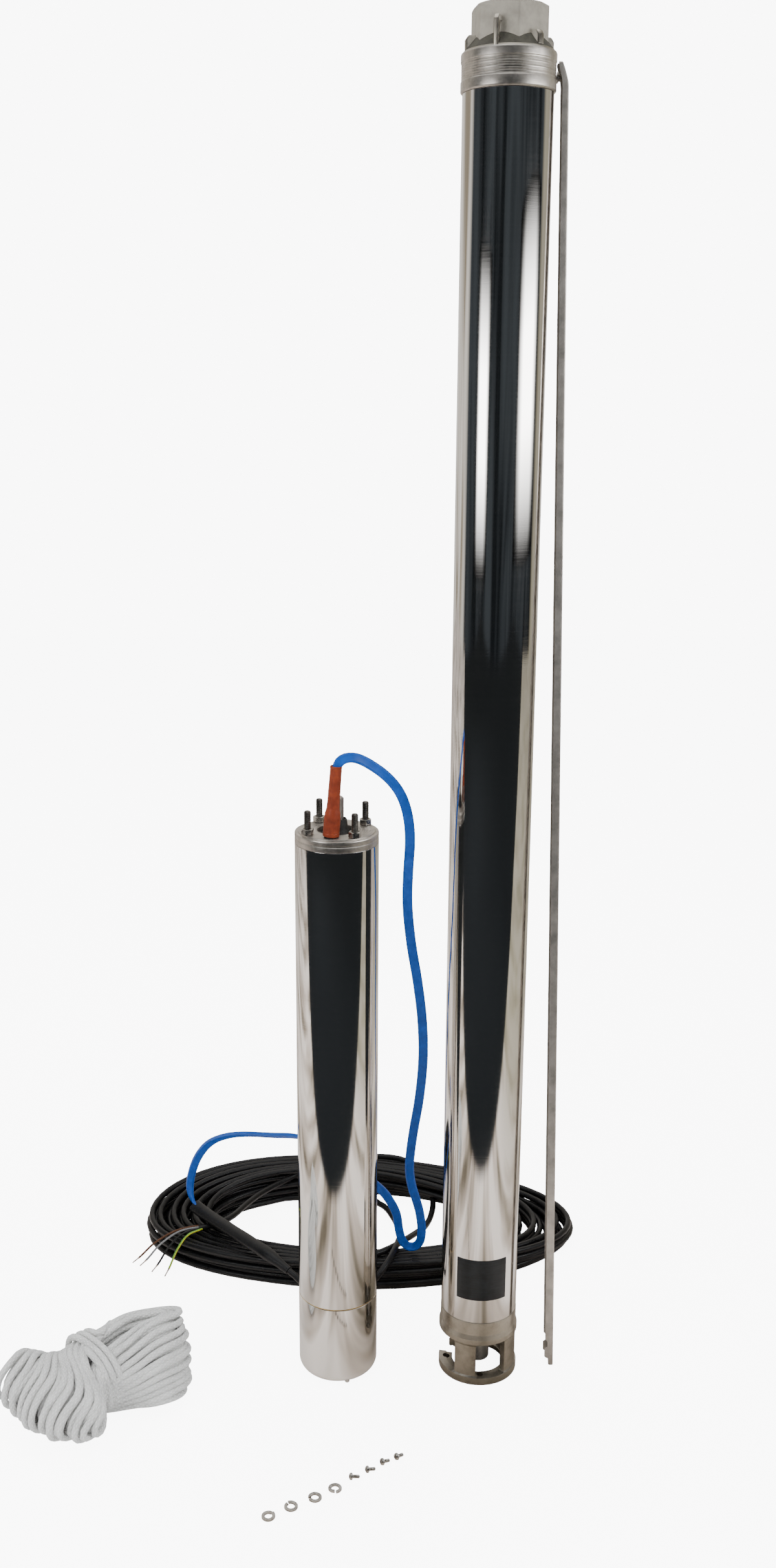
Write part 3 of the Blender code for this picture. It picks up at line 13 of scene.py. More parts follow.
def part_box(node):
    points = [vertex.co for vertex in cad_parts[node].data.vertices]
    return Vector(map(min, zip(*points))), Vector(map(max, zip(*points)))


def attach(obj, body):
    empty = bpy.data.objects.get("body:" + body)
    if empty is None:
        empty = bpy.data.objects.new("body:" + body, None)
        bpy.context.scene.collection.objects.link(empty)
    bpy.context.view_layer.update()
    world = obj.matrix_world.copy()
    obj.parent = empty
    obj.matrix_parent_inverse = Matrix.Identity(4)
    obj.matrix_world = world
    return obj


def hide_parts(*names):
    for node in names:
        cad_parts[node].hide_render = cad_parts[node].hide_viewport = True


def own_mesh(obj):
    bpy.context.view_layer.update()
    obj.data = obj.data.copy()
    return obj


bl_info = {
    "name": "Borehole Pump Kit",
    "version": (1, 0, 0),
    "blender": (4, 5, 0),
    "location": "3D View > Sidebar > Pump Kit",
    "description": "Builds the visible pieces and finishes of a borehole pump, its motor and its cords",
    "category": "Object",
}

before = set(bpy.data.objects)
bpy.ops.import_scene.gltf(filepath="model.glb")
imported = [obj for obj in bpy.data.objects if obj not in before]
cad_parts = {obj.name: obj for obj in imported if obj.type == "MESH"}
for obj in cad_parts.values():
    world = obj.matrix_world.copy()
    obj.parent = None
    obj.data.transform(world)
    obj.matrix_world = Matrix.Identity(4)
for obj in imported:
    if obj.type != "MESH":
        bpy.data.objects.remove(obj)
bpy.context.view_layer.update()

# Places shared with the solids, in metres
PUMP_AXIS = Vector((0.078, 0.115, 0.0))
MOTOR_AXIS = Vector((-0.094, 0.115, 0.0))
ROUND_SIDES = 96
SMALL_SIDES = 32

# Pump end
PUMP_TOP = 1.524
RING_TOP = 1.482
RING_BOTTOM = 1.445
RING_RADIUS = 0.0475
SLEEVE_RADIUS = 0.0455
SLEEVE_BORE = 0.0440
SPIGOT_RADIUS = 0.0437
SPIGOT_BOTTOM = 1.425
NECK_FLAT = 0.0345
NECK_AZIMUTH = 8.0
OUTLET_RADIUS = 0.028
OUTLET_BOTTOM = 1.486
CHAMBER_RADIUS = 0.033
BRACKET_TOP = 0.084
WINDOW_TOP = 0.055
BASE_FLANGE = 0.0095
WINDOWS = ((-138.5, -41.5), (-7.5, 40.0), (76.0, 104.0), (140.0, 187.5))
FLANGE_NOTCH = (-137.0, -103.0)
PLATE_AZIMUTHS = (-40.0, 38.0)
PLATE_BOTTOM = 0.115
PLATE_TOP = 0.168

# Motor
FACE_LEVEL = 0.686
RIM_LEVEL = 0.6844
BAND_LEVEL = 0.6719
MOTOR_RADIUS = 0.0475
CUP_TOP = 0.103
CUP_CORNER = 0.013
STUD_CIRCLE = 0.0381
STUD_AZIMUTH = 32.0
STUD_RADIUS = 0.00395
GLAND_AZIMUTH = -11.0
GLAND_RADIUS = 0.032
BOOT_LEAN = 4.3
BOOT_HEIGHT = 0.080

# Guard
GUARD_FOOT = Vector((0.1713, 0.115, 0.0001))
GUARD_LENGTH = 1.4745
GUARD_TURN = math.radians(1.343)
GUARD_SCREW_LEVEL = 1.460

# Loose parts
WASHER_PLACES = ((-0.1662, -0.1555), (-0.1426, -0.1408), (-0.1171, -0.1269), (-0.0955, -0.1127))
SCREW_PLACES = ((-0.0771, -0.0973), (-0.0591, -0.0858), (-0.0423, -0.0731), (-0.0261, -0.0645))

# Routes of the cords
LEAD_ROUTE = (
    (-0.0770, 0.0895, 0.7758), (-0.0658, 0.0930, 0.7712), (-0.0479, 0.0990, 0.7587),
    (-0.0335, 0.1040, 0.7449), (-0.0217, 0.1090, 0.7266), (-0.0141, 0.1140, 0.7014),
    (-0.0114, 0.1190, 0.6712), (-0.0130, 0.1250, 0.6311), (-0.0131, 0.1310, 0.5902),
    (-0.0079, 0.1380, 0.5403), (0.0006, 0.1460, 0.4889), (0.0069, 0.1550, 0.4359),
    (0.0088, 0.1650, 0.3812), (0.0053, 0.1770, 0.3242), (-0.0007, 0.1900, 0.2740),
    (-0.0045, 0.2050, 0.2215), (-0.0012, 0.2180, 0.1872), (0.0056, 0.2350, 0.1564),
    (0.0119, 0.2550, 0.1244), (0.0157, 0.2750, 0.0888), (0.0150, 0.2880, 0.0640),
    (0.0105, 0.2945, 0.0520), (0.0030, 0.2965, 0.0475), (-0.0045, 0.2960, 0.0515),
    (-0.0105, 0.2920, 0.0640), (-0.0145, 0.2840, 0.0854),
    (-0.0181, 0.2680, 0.1159), (-0.0282, 0.2480, 0.1472), (-0.0404, 0.2280, 0.1743),
    (-0.0620, 0.2000, 0.2070), (-0.0830, 0.1800, 0.2330), (-0.1020, 0.1720, 0.2500),
    (-0.1220, 0.1840, 0.2590), (-0.1434, 0.2050, 0.2600), (-0.1793, 0.2380, 0.2448),
    (-0.2145, 0.2680, 0.2311), (-0.2425, 0.2980, 0.2128), (-0.2671, 0.3280, 0.1877),
    (-0.2852, 0.3540, 0.1557), (-0.2969, 0.3740, 0.1223), (-0.3037, 0.3880, 0.0907),
)
SPLICE_ROUTE = (
    (-0.2975, 0.3860, 0.0606), (-0.2860, 0.3765, 0.0568), (-0.2620, 0.3520, 0.0546),
    (-0.2202, 0.3056, 0.0546), (-0.1880, 0.2720, 0.0530), (-0.1600, 0.2490, 0.0430),
)
TAIL_ROUTE = (
    (-0.1300, 0.2300, 0.0250), (-0.1080, 0.2260, 0.0140), (-0.0850, 0.2260, 0.0120),
    (-0.0640, 0.2310, 0.0200), (-0.0450, 0.2420, 0.0370), (-0.0290, 0.2620, 0.0480),
    (-0.0190, 0.2900, 0.0510), (-0.0120, 0.3200, 0.0480), (-0.0090, 0.3560, 0.0350),
    (-0.0110, 0.3950, 0.0190), (-0.0160, 0.4380, 0.0090), (-0.0300, 0.4790, 0.0060),
    (-0.0560, 0.5020, 0.0050),
)
LAST_TURN = (
    (-0.1050, 0.2720, 0.0425), (-0.0800, 0.2710, 0.0455), (-0.0520, 0.2790, 0.0470), (-0.0260, 0.2960, 0.0475),
    (-0.0030, 0.3230, 0.0450), (0.0130, 0.3600, 0.0330), (0.0260, 0.4000, 0.0180),
    (0.0370, 0.4450, 0.0080), (0.0430, 0.4880, 0.0070), (0.0400, 0.5200, 0.0180),
    (0.0220, 0.5420, 0.0350), (-0.0060, 0.5500, 0.0450), (-0.0450, 0.5530, 0.0470),
    (-0.0900, 0.5460, 0.0470), (-0.1350, 0.5240, 0.0450), (-0.1750, 0.4930, 0.0400),
    (-0.2080, 0.4560, 0.0400), (-0.2280, 0.4200, 0.0420), (-0.2430, 0.3870, 0.0440),
    (-0.2620, 0.3640, 0.0450), (-0.2880, 0.3510, 0.0450),
)
CONDUCTOR_SPREAD = 0.0042
CONDUCTOR_ROOT = Vector((-0.2880, 0.3510, 0.0455))
CONDUCTOR_BENDS = (
    ((-0.3183, 0.3457, 0.0452), (-0.3487, 0.3403, 0.0290), (-0.3660, 0.3372, 0.0120), (-0.3790, 0.3350, 0.0016)),
    ((-0.3147, 0.3430, 0.0452), (-0.3413, 0.3350, 0.0290), (-0.3560, 0.3306, 0.0120), (-0.3680, 0.3270, 0.0016)),
    ((-0.3087, 0.3380, 0.0452), (-0.3293, 0.3250, 0.0290), (-0.3400, 0.3184, 0.0120), (-0.3500, 0.3120, 0.0016)),
    ((-0.3023, 0.3343, 0.0450), (-0.3167, 0.3177, 0.0290), (-0.3240, 0.3093, 0.0120), (-0.3310, 0.3010, 0.0016)),
)
COIL_CENTRE = Vector((-0.062, 0.411, 0.0))
COIL_HALF_LENGTH = 0.309
COIL_HALF_WIDTH = 0.149
COIL_BAND_LENGTH = 0.154
COIL_BAND_WIDTH = 0.052
COIL_ROWS = (6, 5, 6, 5, 6)
HANK_CENTRE = Vector((-0.379, 0.038, 0.0))
HANK_TURN = math.radians(35.0)
HANK_HALF_LENGTH = 0.115
HANK_HALF_WIDTH = 0.074
HANK_HEIGHT = 0.092


class PumpKitSizes(bpy.types.PropertyGroup):
    """Sizes of the flexible and fine details."""

    lead_width: FloatProperty(
        name="Lead width", description="Width of the flat blue lead",
        default=0.0115, min=0.004, max=0.03, unit="LENGTH")
    lead_thickness: FloatProperty(
        name="Lead thickness", description="Thickness of the flat blue lead",
        default=0.0050, min=0.002, max=0.02, unit="LENGTH")
    cable_diameter: FloatProperty(
        name="Cable diameter", description="Diameter of the round black cable",
        default=0.0085, min=0.004, max=0.02, unit="LENGTH")
    conductor_diameter: FloatProperty(
        name="Conductor diameter", description="Diameter of each insulated conductor",
        default=0.0028, min=0.001, max=0.01, unit="LENGTH")
    bare_tip: FloatProperty(
        name="Bare tip", description="Stripped length at each conductor's end",
        default=0.009, min=0.0, max=0.03, unit="LENGTH")
    rope_diameter: FloatProperty(
        name="Rope diameter", description="Diameter of the white rope",
        default=0.0080, min=0.004, max=0.02, unit="LENGTH")
    rope_layers: IntProperty(
        name="Rope layers", description="Layers of rope in the hank's height",
        default=11, min=3, max=14)
    rope_nests: IntProperty(
        name="Rope nests", description="Loops of rope laid inside one another",
        default=8, min=2, max=9)
    outlet_pitch: FloatProperty(
        name="Outlet thread pitch", description="Pitch of the thread in the outlet",
        default=0.0023, min=0.001, max=0.005, unit="LENGTH")
    stud_pitch: FloatProperty(
        name="Stud thread pitch", description="Pitch of the studs' thread",
        default=0.0011, min=0.0005, max=0.003, unit="LENGTH")
    spline_teeth: IntProperty(
        name="Spline teeth", description="Teeth on the motor's shaft end",
        default=14, min=6, max=30)


class PumpKitFinishes(bpy.types.PropertyGroup):
    """Colours of the finishes."""

    polished: FloatVectorProperty(
        name="Polished steel", description="Tint of the polished barrels",
        subtype="COLOR", size=3, min=0.0, max=1.0, default=(0.86, 0.84, 0.81))
    cast: FloatVectorProperty(
        name="Cast steel", description="Colour of the cast head, bracket and flange",
        subtype="COLOR", size=3, min=0.0, max=1.0, default=(0.44, 0.41, 0.35))
    plain: FloatVectorProperty(
        name="Plain steel", description="Colour of studs, nuts, shafts and the guard",
        subtype="COLOR", size=3, min=0.0, max=1.0, default=(0.50, 0.47, 0.43))
    boot: FloatVectorProperty(
        name="Boot", description="Rust red rubber of the lead's boot",
        subtype="COLOR", size=3, min=0.0, max=1.0, default=(0.215, 0.030, 0.008))
    lead: FloatVectorProperty(
        name="Lead", description="Blue jacket of the flat lead",
        subtype="COLOR", size=3, min=0.0, max=1.0, default=(0.0005, 0.075, 0.400))
    cable: FloatVectorProperty(
        name="Cable", description="Black jacket of the cable",
        subtype="COLOR", size=3, min=0.0, max=1.0, default=(0.0045, 0.0045, 0.0050))
    rope: FloatVectorProperty(
        name="Rope", description="White braid of the rope",
        subtype="COLOR", size=3, min=0.0, max=1.0, default=(0.83, 0.83, 0.81))
    plate: FloatVectorProperty(
        name="Plate", description="Black of the bare plate",
        subtype="COLOR", size=3, min=0.0, max=1.0, default=(0.0035, 0.0045, 0.0055))


class PumpKitStage(bpy.types.PropertyGroup):
    floor: FloatVectorProperty(
        name="Floor", description="Colour of the pale floor",
        subtype="COLOR", size=3, min=0.0, max=1.0, default=(0.93, 0.93, 0.925))
    key_power: FloatProperty(
        name="Side light power", description="Power of the soft light at the left, in watts",
        default=75.0, min=0.0, max=500.0)
    top_power: FloatProperty(
        name="Overhead power", description="Power of the soft light overhead, in watts",
        default=30.0, min=0.0, max=500.0)
    floor_glow: FloatProperty(
        name="Floor glow", description="How far the seen floor is lifted towards white",
        default=8.0, min=0.0, max=20.0)
    panel_glow: FloatProperty(
        name="Panel glow", description="Brightness of the two tall soft panels",
        default=10.0, min=0.0, max=50.0)
    dark_floor: FloatProperty(
        name="Dark floor from", description="How far in front the reflected floor turns dark",
        default=0.335, min=0.0, max=3.0, unit="LENGTH")


# Finishes

MADE = {}


def new_finish(name, metallic=0.0, roughness=0.5, specular=0.5, coat=0.0):
    made = bpy.data.materials.new(name)
    made.use_nodes = True
    shader = made.node_tree.nodes["Principled BSDF"]
    shader.inputs["Metallic"].default_value = metallic
    shader.inputs["Roughness"].default_value = roughness
    shader.inputs["Specular IOR Level"].default_value = specular
    shader.inputs["Coat Weight"].default_value = coat
    shader.inputs["Coat Roughness"].default_value = 0.15
    MADE[name] = made
    return made, made.node_tree, shader


def place_on(tree, stretch=(1.0, 1.0, 1.0)):
    """The piece's own coordinates, stretched along its axes."""
    coords = tree.nodes.new("ShaderNodeTexCoord")
    mapping = tree.nodes.new("ShaderNodeMapping")
    mapping.inputs["Scale"].default_value = stretch
    tree.links.new(coords.outputs["Object"], mapping.inputs["Vector"])
    return mapping.outputs["Vector"]


def noise(tree, vector, scale, detail=4.0, rough=0.55, distortion=0.0):
    node = tree.nodes.new("ShaderNodeTexNoise")
    node.inputs["Scale"].default_value = scale
    node.inputs["Detail"].default_value = detail
    node.inputs["Roughness"].default_value = rough
    node.inputs["Distortion"].default_value = distortion
    tree.links.new(vector, node.inputs["Vector"])
    return node.outputs["Fac"]


def bands(tree, vector, scale, axis="Z", distortion=0.0, detail=1.0, kind="BANDS", profile="SIN"):
    node = tree.nodes.new("ShaderNodeTexWave")
    node.wave_type = kind
    if kind == "BANDS":
        node.bands_direction = axis
    else:
        node.rings_direction = axis
    node.wave_profile = profile
    node.inputs["Scale"].default_value = scale
    node.inputs["Distortion"].default_value = distortion
    node.inputs["Detail"].default_value = detail
    tree.links.new(vector, node.inputs["Vector"])
    return node.outputs["Fac"]


def cells(tree, vector, scale, feature="F1"):
    node = tree.nodes.new("ShaderNodeTexVoronoi")
    node.feature = feature
    node.inputs["Scale"].default_value = scale
    tree.links.new(vector, node.inputs["Vector"])
    return node.outputs["Distance"]


def shades(tree, value, stops):
    """Colours along a value, from (position, colour) stops."""
    node = tree.nodes.new("ShaderNodeValToRGB")
    ramp = node.color_ramp
    while len(ramp.elements) < len(stops):
        ramp.elements.new(0.5)
    for element, (position, colour) in zip(ramp.elements, stops):
        element.position = position
        element.color = (*colour, 1.0)
    tree.links.new(value, node.inputs["Fac"])
    return node.outputs["Color"]


def between(tree, value, low, high, from_low=0.0, from_high=1.0):
    node = tree.nodes.new("ShaderNodeMapRange")
    node.inputs["From Min"].default_value = from_low
    node.inputs["From Max"].default_value = from_high
    node.inputs["To Min"].default_value = low
    node.inputs["To Max"].default_value = high
    tree.links.new(value, node.inputs["Value"])
    return node.outputs["Result"]


def sum_of(tree, *values):
    total = values[0]
    for value in values[1:]:
        node = tree.nodes.new("ShaderNodeMath")
        node.operation = "ADD"
        tree.links.new(total, node.inputs[0])
        tree.links.new(value, node.inputs[1])
        total = node.outputs["Value"]
    return total


def times(tree, first, second):
    node = tree.nodes.new("ShaderNodeMath")
    node.operation = "MULTIPLY"
    tree.links.new(first, node.inputs[0])
    tree.links.new(second, node.inputs[1])
    return node.outputs["Value"]


def relief(tree, shader, height, strength, distance):
    """Raised detail of a given height in metres."""
    node = tree.nodes.new("ShaderNodeBump")
    node.inputs["Strength"].default_value = strength
    node.inputs["Distance"].default_value = distance
    tree.links.new(height, node.inputs["Height"])
    tree.links.new(node.outputs["Normal"], shader.inputs["Normal"])


def shaded(colour, factor, shift=(0.0, 0.0, 0.0)):
    return tuple(min(1.0, max(0.0, channel * factor + move)) for channel, move in zip(colour, shift))


def polished_steel(colour):
    """Mirror polish with faint turning lines and a slightly wavy drawn wall."""
    if "polished_steel" in MADE:
        return MADE["polished_steel"]
    made, tree, shader = new_finish("polished_steel", metallic=1.0)
    lines = noise(tree, place_on(tree, (6.0, 6.0, 900.0)), 1.0, 3.0)
    smears = noise(tree, place_on(tree, (22.0, 22.0, 3.0)), 1.0, 5.0, 0.6)
    tint = shades(tree, smears, [(0.30, shaded(colour, 0.93)), (0.62, colour)])
    tree.links.new(tint, shader.inputs["Base Color"])
    gloss = times(tree, lines, smears)
    tree.links.new(between(tree, gloss, 0.035, 0.13, 0.05, 0.55), shader.inputs["Roughness"])
    waves = noise(tree, place_on(tree, (26.0, 26.0, 2.2)), 1.0, 2.0, 0.4)
    relief(tree, shader, sum_of(tree, waves, between(tree, lines, 0.0, 0.012)), 0.35, 0.0012)
    return made


def cast_steel(colour):
    """Satin investment casting: fine grain, blotches and a few pits."""
    if "cast_steel" in MADE:
        return MADE["cast_steel"]
    made, tree, shader = new_finish("cast_steel", metallic=1.0)
    grain = noise(tree, place_on(tree), 1400.0, 4.0, 0.7)
    blotch = noise(tree, place_on(tree), 60.0, 5.0, 0.65)
    pits = cells(tree, place_on(tree), 420.0)
    tint = shades(tree, blotch, [
        (0.28, shaded(colour, 0.74, (0.0, -0.006, -0.012))), (0.52, colour), (0.78, shaded(colour, 1.22))])
    tree.links.new(tint, shader.inputs["Base Color"])
    tree.links.new(between(tree, sum_of(tree, grain, blotch), 0.27, 0.46, 0.7, 1.3), shader.inputs["Roughness"])
    relief(tree, shader, sum_of(tree, grain, between(tree, pits, 0.0, 0.9, 0.0, 0.35)), 0.45, 0.00012)
    return made


def painted_shade_casting(colour):
    """Painted shade in the hollow of the casting under the neck: a near-black colour that stands in for the shadow
    there.
    """
    if "painted_shade_casting" in MADE:
        return MADE["painted_shade_casting"]
    made, tree, shader = new_finish("painted_shade_casting", metallic=0.6, specular=0.3)
    grain = noise(tree, place_on(tree), 1100.0, 4.0, 0.7)
    blotch = noise(tree, place_on(tree), 90.0, 4.0, 0.6)
    tint = shades(tree, blotch, [(0.3, shaded(colour, 0.11)), (0.6, shaded(colour, 0.20, (0.0, 0.003, -0.002)))])
    tree.links.new(tint, shader.inputs["Base Color"])
    tree.links.new(between(tree, blotch, 0.50, 0.72), shader.inputs["Roughness"])
    relief(tree, shader, grain, 0.5, 0.00015)
    return made


def blasted_steel(colour):
    """Matt blasted flats of the neck, pale and slightly mottled."""
    if "blasted_steel" in MADE:
        return MADE["blasted_steel"]
    made, tree, shader = new_finish("blasted_steel", metallic=0.55, specular=0.4)
    grain = noise(tree, place_on(tree), 1600.0, 4.0, 0.7)
    blotch = noise(tree, place_on(tree), 70.0, 5.0, 0.6)
    tint = shades(tree, blotch, [(0.3, shaded(colour, 0.66)), (0.6, shaded(colour, 0.92))])
    tree.links.new(tint, shader.inputs["Base Color"])
    tree.links.new(between(tree, blotch, 0.50, 0.66), shader.inputs["Roughness"])
    relief(tree, shader, grain, 0.45, 0.00012)
    return made


def turned_steel(colour):
    """Machined face with fine grooves round the axis."""
    if "turned_steel" in MADE:
        return MADE["turned_steel"]
    made, tree, shader = new_finish("turned_steel", metallic=1.0)
    lines = bands(tree, place_on(tree), 330.0, "Z", 0.4, 2.0)
    fine = noise(tree, place_on(tree, (8.0, 8.0, 2600.0)), 1.0, 3.0)
    wear = noise(tree, place_on(tree), 75.0, 5.0, 0.6)
    tint = shades(tree, wear, [(0.3, shaded(colour, 0.9)), (0.55, shaded(colour, 1.28)), (0.75, shaded(colour, 1.5))])
    tree.links.new(tint, shader.inputs["Base Color"])
    tree.links.new(between(tree, fine, 0.30, 0.46, 0.3, 0.7), shader.inputs["Roughness"])
    relief(tree, shader, sum_of(tree, between(tree, lines, 0.0, 0.7), between(tree, fine, 0.0, 0.5)), 0.5, 0.00010)
    return made


def plain_steel(colour):
    """Rolled or drawn steel with lengthwise lines."""
    if "plain_steel" in MADE:
        return MADE["plain_steel"]
    made, tree, shader = new_finish("plain_steel", metallic=0.82)
    lines = noise(tree, place_on(tree, (900.0, 900.0, 9.0)), 1.0, 4.0, 0.6)
    stain = noise(tree, place_on(tree, (1.0, 1.0, 0.35)), 42.0, 5.0, 0.6)
    tint = shades(tree, stain, [(0.3, shaded(colour, 0.70)), (0.5, colour), (0.75, shaded(colour, 1.30))])
    tree.links.new(tint, shader.inputs["Base Color"])
    tree.links.new(between(tree, lines, 0.34, 0.50, 0.3, 0.7), shader.inputs["Roughness"])
    relief(tree, shader, lines, 0.30, 0.00006)
    return made


def stud_steel(colour):
    """Dark rolled threads with bright crests."""
    if "stud_steel" in MADE:
        return MADE["stud_steel"]
    made, tree, shader = new_finish("stud_steel", metallic=1.0)
    oil = noise(tree, place_on(tree, (1.0, 1.0, 0.5)), 260.0, 4.0, 0.6)
    grain = noise(tree, place_on(tree), 2400.0, 2.0)
    tint = shades(tree, oil, [(0.3, shaded(colour, 0.14)), (0.55, shaded(colour, 0.30)), (0.8, shaded(colour, 0.7))])
    tree.links.new(tint, shader.inputs["Base Color"])
    tree.links.new(between(tree, oil, 0.22, 0.42), shader.inputs["Roughness"])
    relief(tree, shader, grain, 0.25, 0.00005)
    return made


def fastener_steel():
    """Bright zinc grey of nuts, washers and screws, dulled in patches."""
    if "fastener_steel" in MADE:
        return MADE["fastener_steel"]
    made, tree, shader = new_finish("fastener_steel", metallic=1.0)
    patch = noise(tree, place_on(tree), 240.0, 4.0, 0.6)
    grain = noise(tree, place_on(tree), 2600.0, 2.0)
    tint = shades(tree, patch, [(0.3, (0.34, 0.32, 0.29)), (0.55, (0.60, 0.58, 0.54)), (0.8, (0.72, 0.70, 0.67))])
    tree.links.new(tint, shader.inputs["Base Color"])
    tree.links.new(between(tree, patch, 0.20, 0.42, 0.3, 0.7), shader.inputs["Roughness"])
    relief(tree, shader, grain, 0.25, 0.00005)
    return made


def lacquered_iron():
    """Stacked laminations under a dark varnish."""
    if "lacquered_iron" in MADE:
        return MADE["lacquered_iron"]
    made, tree, shader = new_finish("lacquered_iron", metallic=0.7, coat=0.25)
    stack = bands(tree, place_on(tree), 320.0, "Z", 0.15, 1.0, profile="SAW")
    rust = noise(tree, place_on(tree), 55.0, 5.0, 0.65)
    tint = shades(tree, rust, [(0.35, (0.085, 0.085, 0.09)), (0.6, (0.17, 0.16, 0.155)), (0.85, (0.22, 0.15, 0.11))])
    tree.links.new(tint, shader.inputs["Base Color"])
    tree.links.new(between(tree, rust, 0.38, 0.62), shader.inputs["Roughness"])
    relief(tree, shader, stack, 0.6, 0.0002)
    return made


def winding_copper():
    """Enamelled wire laid round the bore, laced and dipped."""
    if "winding_copper" in MADE:
        return MADE["winding_copper"]
    made, tree, shader = new_finish("winding_copper", metallic=0.8, coat=0.5)
    wires = bands(tree, place_on(tree), 160.0, "Z", 2.4, 2.0)
    lot = noise(tree, place_on(tree), 90.0, 4.0, 0.6)
    tint = shades(tree, lot, [(0.3, (0.33, 0.11, 0.045)), (0.55, (0.62, 0.25, 0.11)), (0.8, (0.74, 0.38, 0.18))])
    tree.links.new(tint, shader.inputs["Base Color"])
    tree.links.new(between(tree, wires, 0.24, 0.45), shader.inputs["Roughness"])
    relief(tree, shader, wires, 0.8, 0.0008)
    return made


def valve_brass():
    """Turned brass of the valve's seat."""
    if "valve_brass" in MADE:
        return MADE["valve_brass"]
    made, tree, shader = new_finish("valve_brass", metallic=1.0)
    lines = bands(tree, place_on(tree), 420.0, "Z", 0.3, 1.0)
    tarnish = noise(tree, place_on(tree), 110.0, 5.0, 0.6)
    tint = shades(tree, tarnish, [(0.3, (0.36, 0.24, 0.09)), (0.6, (0.72, 0.54, 0.24))])
    tree.links.new(tint, shader.inputs["Base Color"])
    tree.links.new(between(tree, tarnish, 0.40, 0.22), shader.inputs["Roughness"])
    relief(tree, shader, lines, 0.35, 0.00008)
    return made


def bearing_carbon():
    """Pressed carbon of the bearings, with a rubbed sheen."""
    if "bearing_carbon" in MADE:
        return MADE["bearing_carbon"]
    made, tree, shader = new_finish("bearing_carbon", specular=0.45)
    grain = noise(tree, place_on(tree), 900.0, 4.0, 0.7)
    rubbed = noise(tree, place_on(tree, (40.0, 40.0, 200.0)), 1.0, 3.0)
    tree.links.new(shades(tree, grain, [(0.35, (0.020, 0.020, 0.022)), (0.7, (0.055, 0.055, 0.060))]),
                   shader.inputs["Base Color"])
    tree.links.new(between(tree, rubbed, 0.30, 0.60), shader.inputs["Roughness"])
    relief(tree, shader, grain, 0.3, 0.00005)
    return made


def stage_plastic():
    """Glass filled plastic of the stages, creamy with flow marks."""
    if "stage_plastic" in MADE:
        return MADE["stage_plastic"]
    made, tree, shader = new_finish("stage_plastic", specular=0.4)
    flow = noise(tree, place_on(tree, (30.0, 30.0, 90.0)), 1.0, 5.0, 0.6, 0.6)
    grain = noise(tree, place_on(tree), 1500.0, 3.0)
    tree.links.new(shades(tree, flow, [(0.3, (0.50, 0.48, 0.40)), (0.6, (0.63, 0.61, 0.54))]),
                   shader.inputs["Base Color"])
    tree.links.new(between(tree, grain, 0.36, 0.56), shader.inputs["Roughness"])
    relief(tree, shader, grain, 0.3, 0.00006)
    return made


def seal_rubber():
    """Moulded black rubber with a dusty bloom."""
    if "seal_rubber" in MADE:
        return MADE["seal_rubber"]
    made, tree, shader = new_finish("seal_rubber", specular=0.35)
    bloom = noise(tree, place_on(tree), 130.0, 5.0, 0.65)
    grain = noise(tree, place_on(tree), 1900.0, 2.0)
    tree.links.new(shades(tree, bloom, [(0.35, (0.010, 0.010, 0.010)), (0.75, (0.035, 0.034, 0.032))]),
                   shader.inputs["Base Color"])
    tree.links.new(between(tree, bloom, 0.42, 0.68), shader.inputs["Roughness"])
    relief(tree, shader, grain, 0.4, 0.00006)
    return made


def boot_rubber(colour):
    """Rust red moulded boot, darker in patches and dusty."""
    if "boot_rubber" in MADE:
        return MADE["boot_rubber"]
    made, tree, shader = new_finish("boot_rubber", specular=0.30)
    patch = noise(tree, place_on(tree), 70.0, 5.0, 0.6)
    grain = noise(tree, place_on(tree), 1600.0, 3.0)
    tint = shades(tree, patch, [(0.3, shaded(colour, 0.62)), (0.55, colour), (0.8, shaded(colour, 1.35, (0.02, 0.01, 0.0)))])
    tree.links.new(tint, shader.inputs["Base Color"])
    tree.links.new(between(tree, patch, 0.34, 0.55), shader.inputs["Roughness"])
    relief(tree, shader, grain, 0.35, 0.00008)
    return made


def jacket(name, colour, low, high, along=None, coat=0.0):
    """Extruded jacket with faint lines along the cord and scuffs."""
    if name in MADE:
        return MADE[name]
    made, tree, shader = new_finish(name, specular=0.32, coat=coat)
    scuff = noise(tree, place_on(tree), 95.0, 5.0, 0.65)
    grain = noise(tree, place_on(tree), 1300.0, 3.0)
    tint = shades(tree, scuff, [(0.30, shaded(colour, 0.80)), (0.55, colour),
                                (0.82, shaded(colour, 1.3, (0.002, 0.002, 0.002)))])
    tree.links.new(tint, shader.inputs["Base Color"])
    tree.links.new(between(tree, scuff, low, high, 0.3, 0.7), shader.inputs["Roughness"])
    height = between(tree, grain, 0.0, 0.25)
    if along is not None:
        height = sum_of(tree, height, cord_lines(tree, along))
    relief(tree, shader, height, 0.35, 0.00012)
    return made


def along_cord(tree):
    """How far round and how far along the cord a point lies, both in whole turns."""
    uv = tree.nodes.new("ShaderNodeUVMap")
    uv.uv_map = "along"
    parts = tree.nodes.new("ShaderNodeSeparateXYZ")
    tree.links.new(uv.outputs["UV"], parts.inputs["Vector"])
    return parts.outputs["X"], parts.outputs["Y"]


def wave_of(tree, value, factor, kind="SINE"):
    scaled = tree.nodes.new("ShaderNodeMath")
    scaled.operation = "MULTIPLY"
    scaled.inputs[1].default_value = factor
    tree.links.new(value, scaled.inputs[0])
    wave = tree.nodes.new("ShaderNodeMath")
    wave.operation = kind
    tree.links.new(scaled.outputs["Value"], wave.inputs[0])
    return wave.outputs["Value"]


def cord_lines(tree, count):
    around, _ = along_cord(tree)
    return between(tree, wave_of(tree, around, 2 * math.pi * count), 0.0, 0.6, -1.0, 1.0)


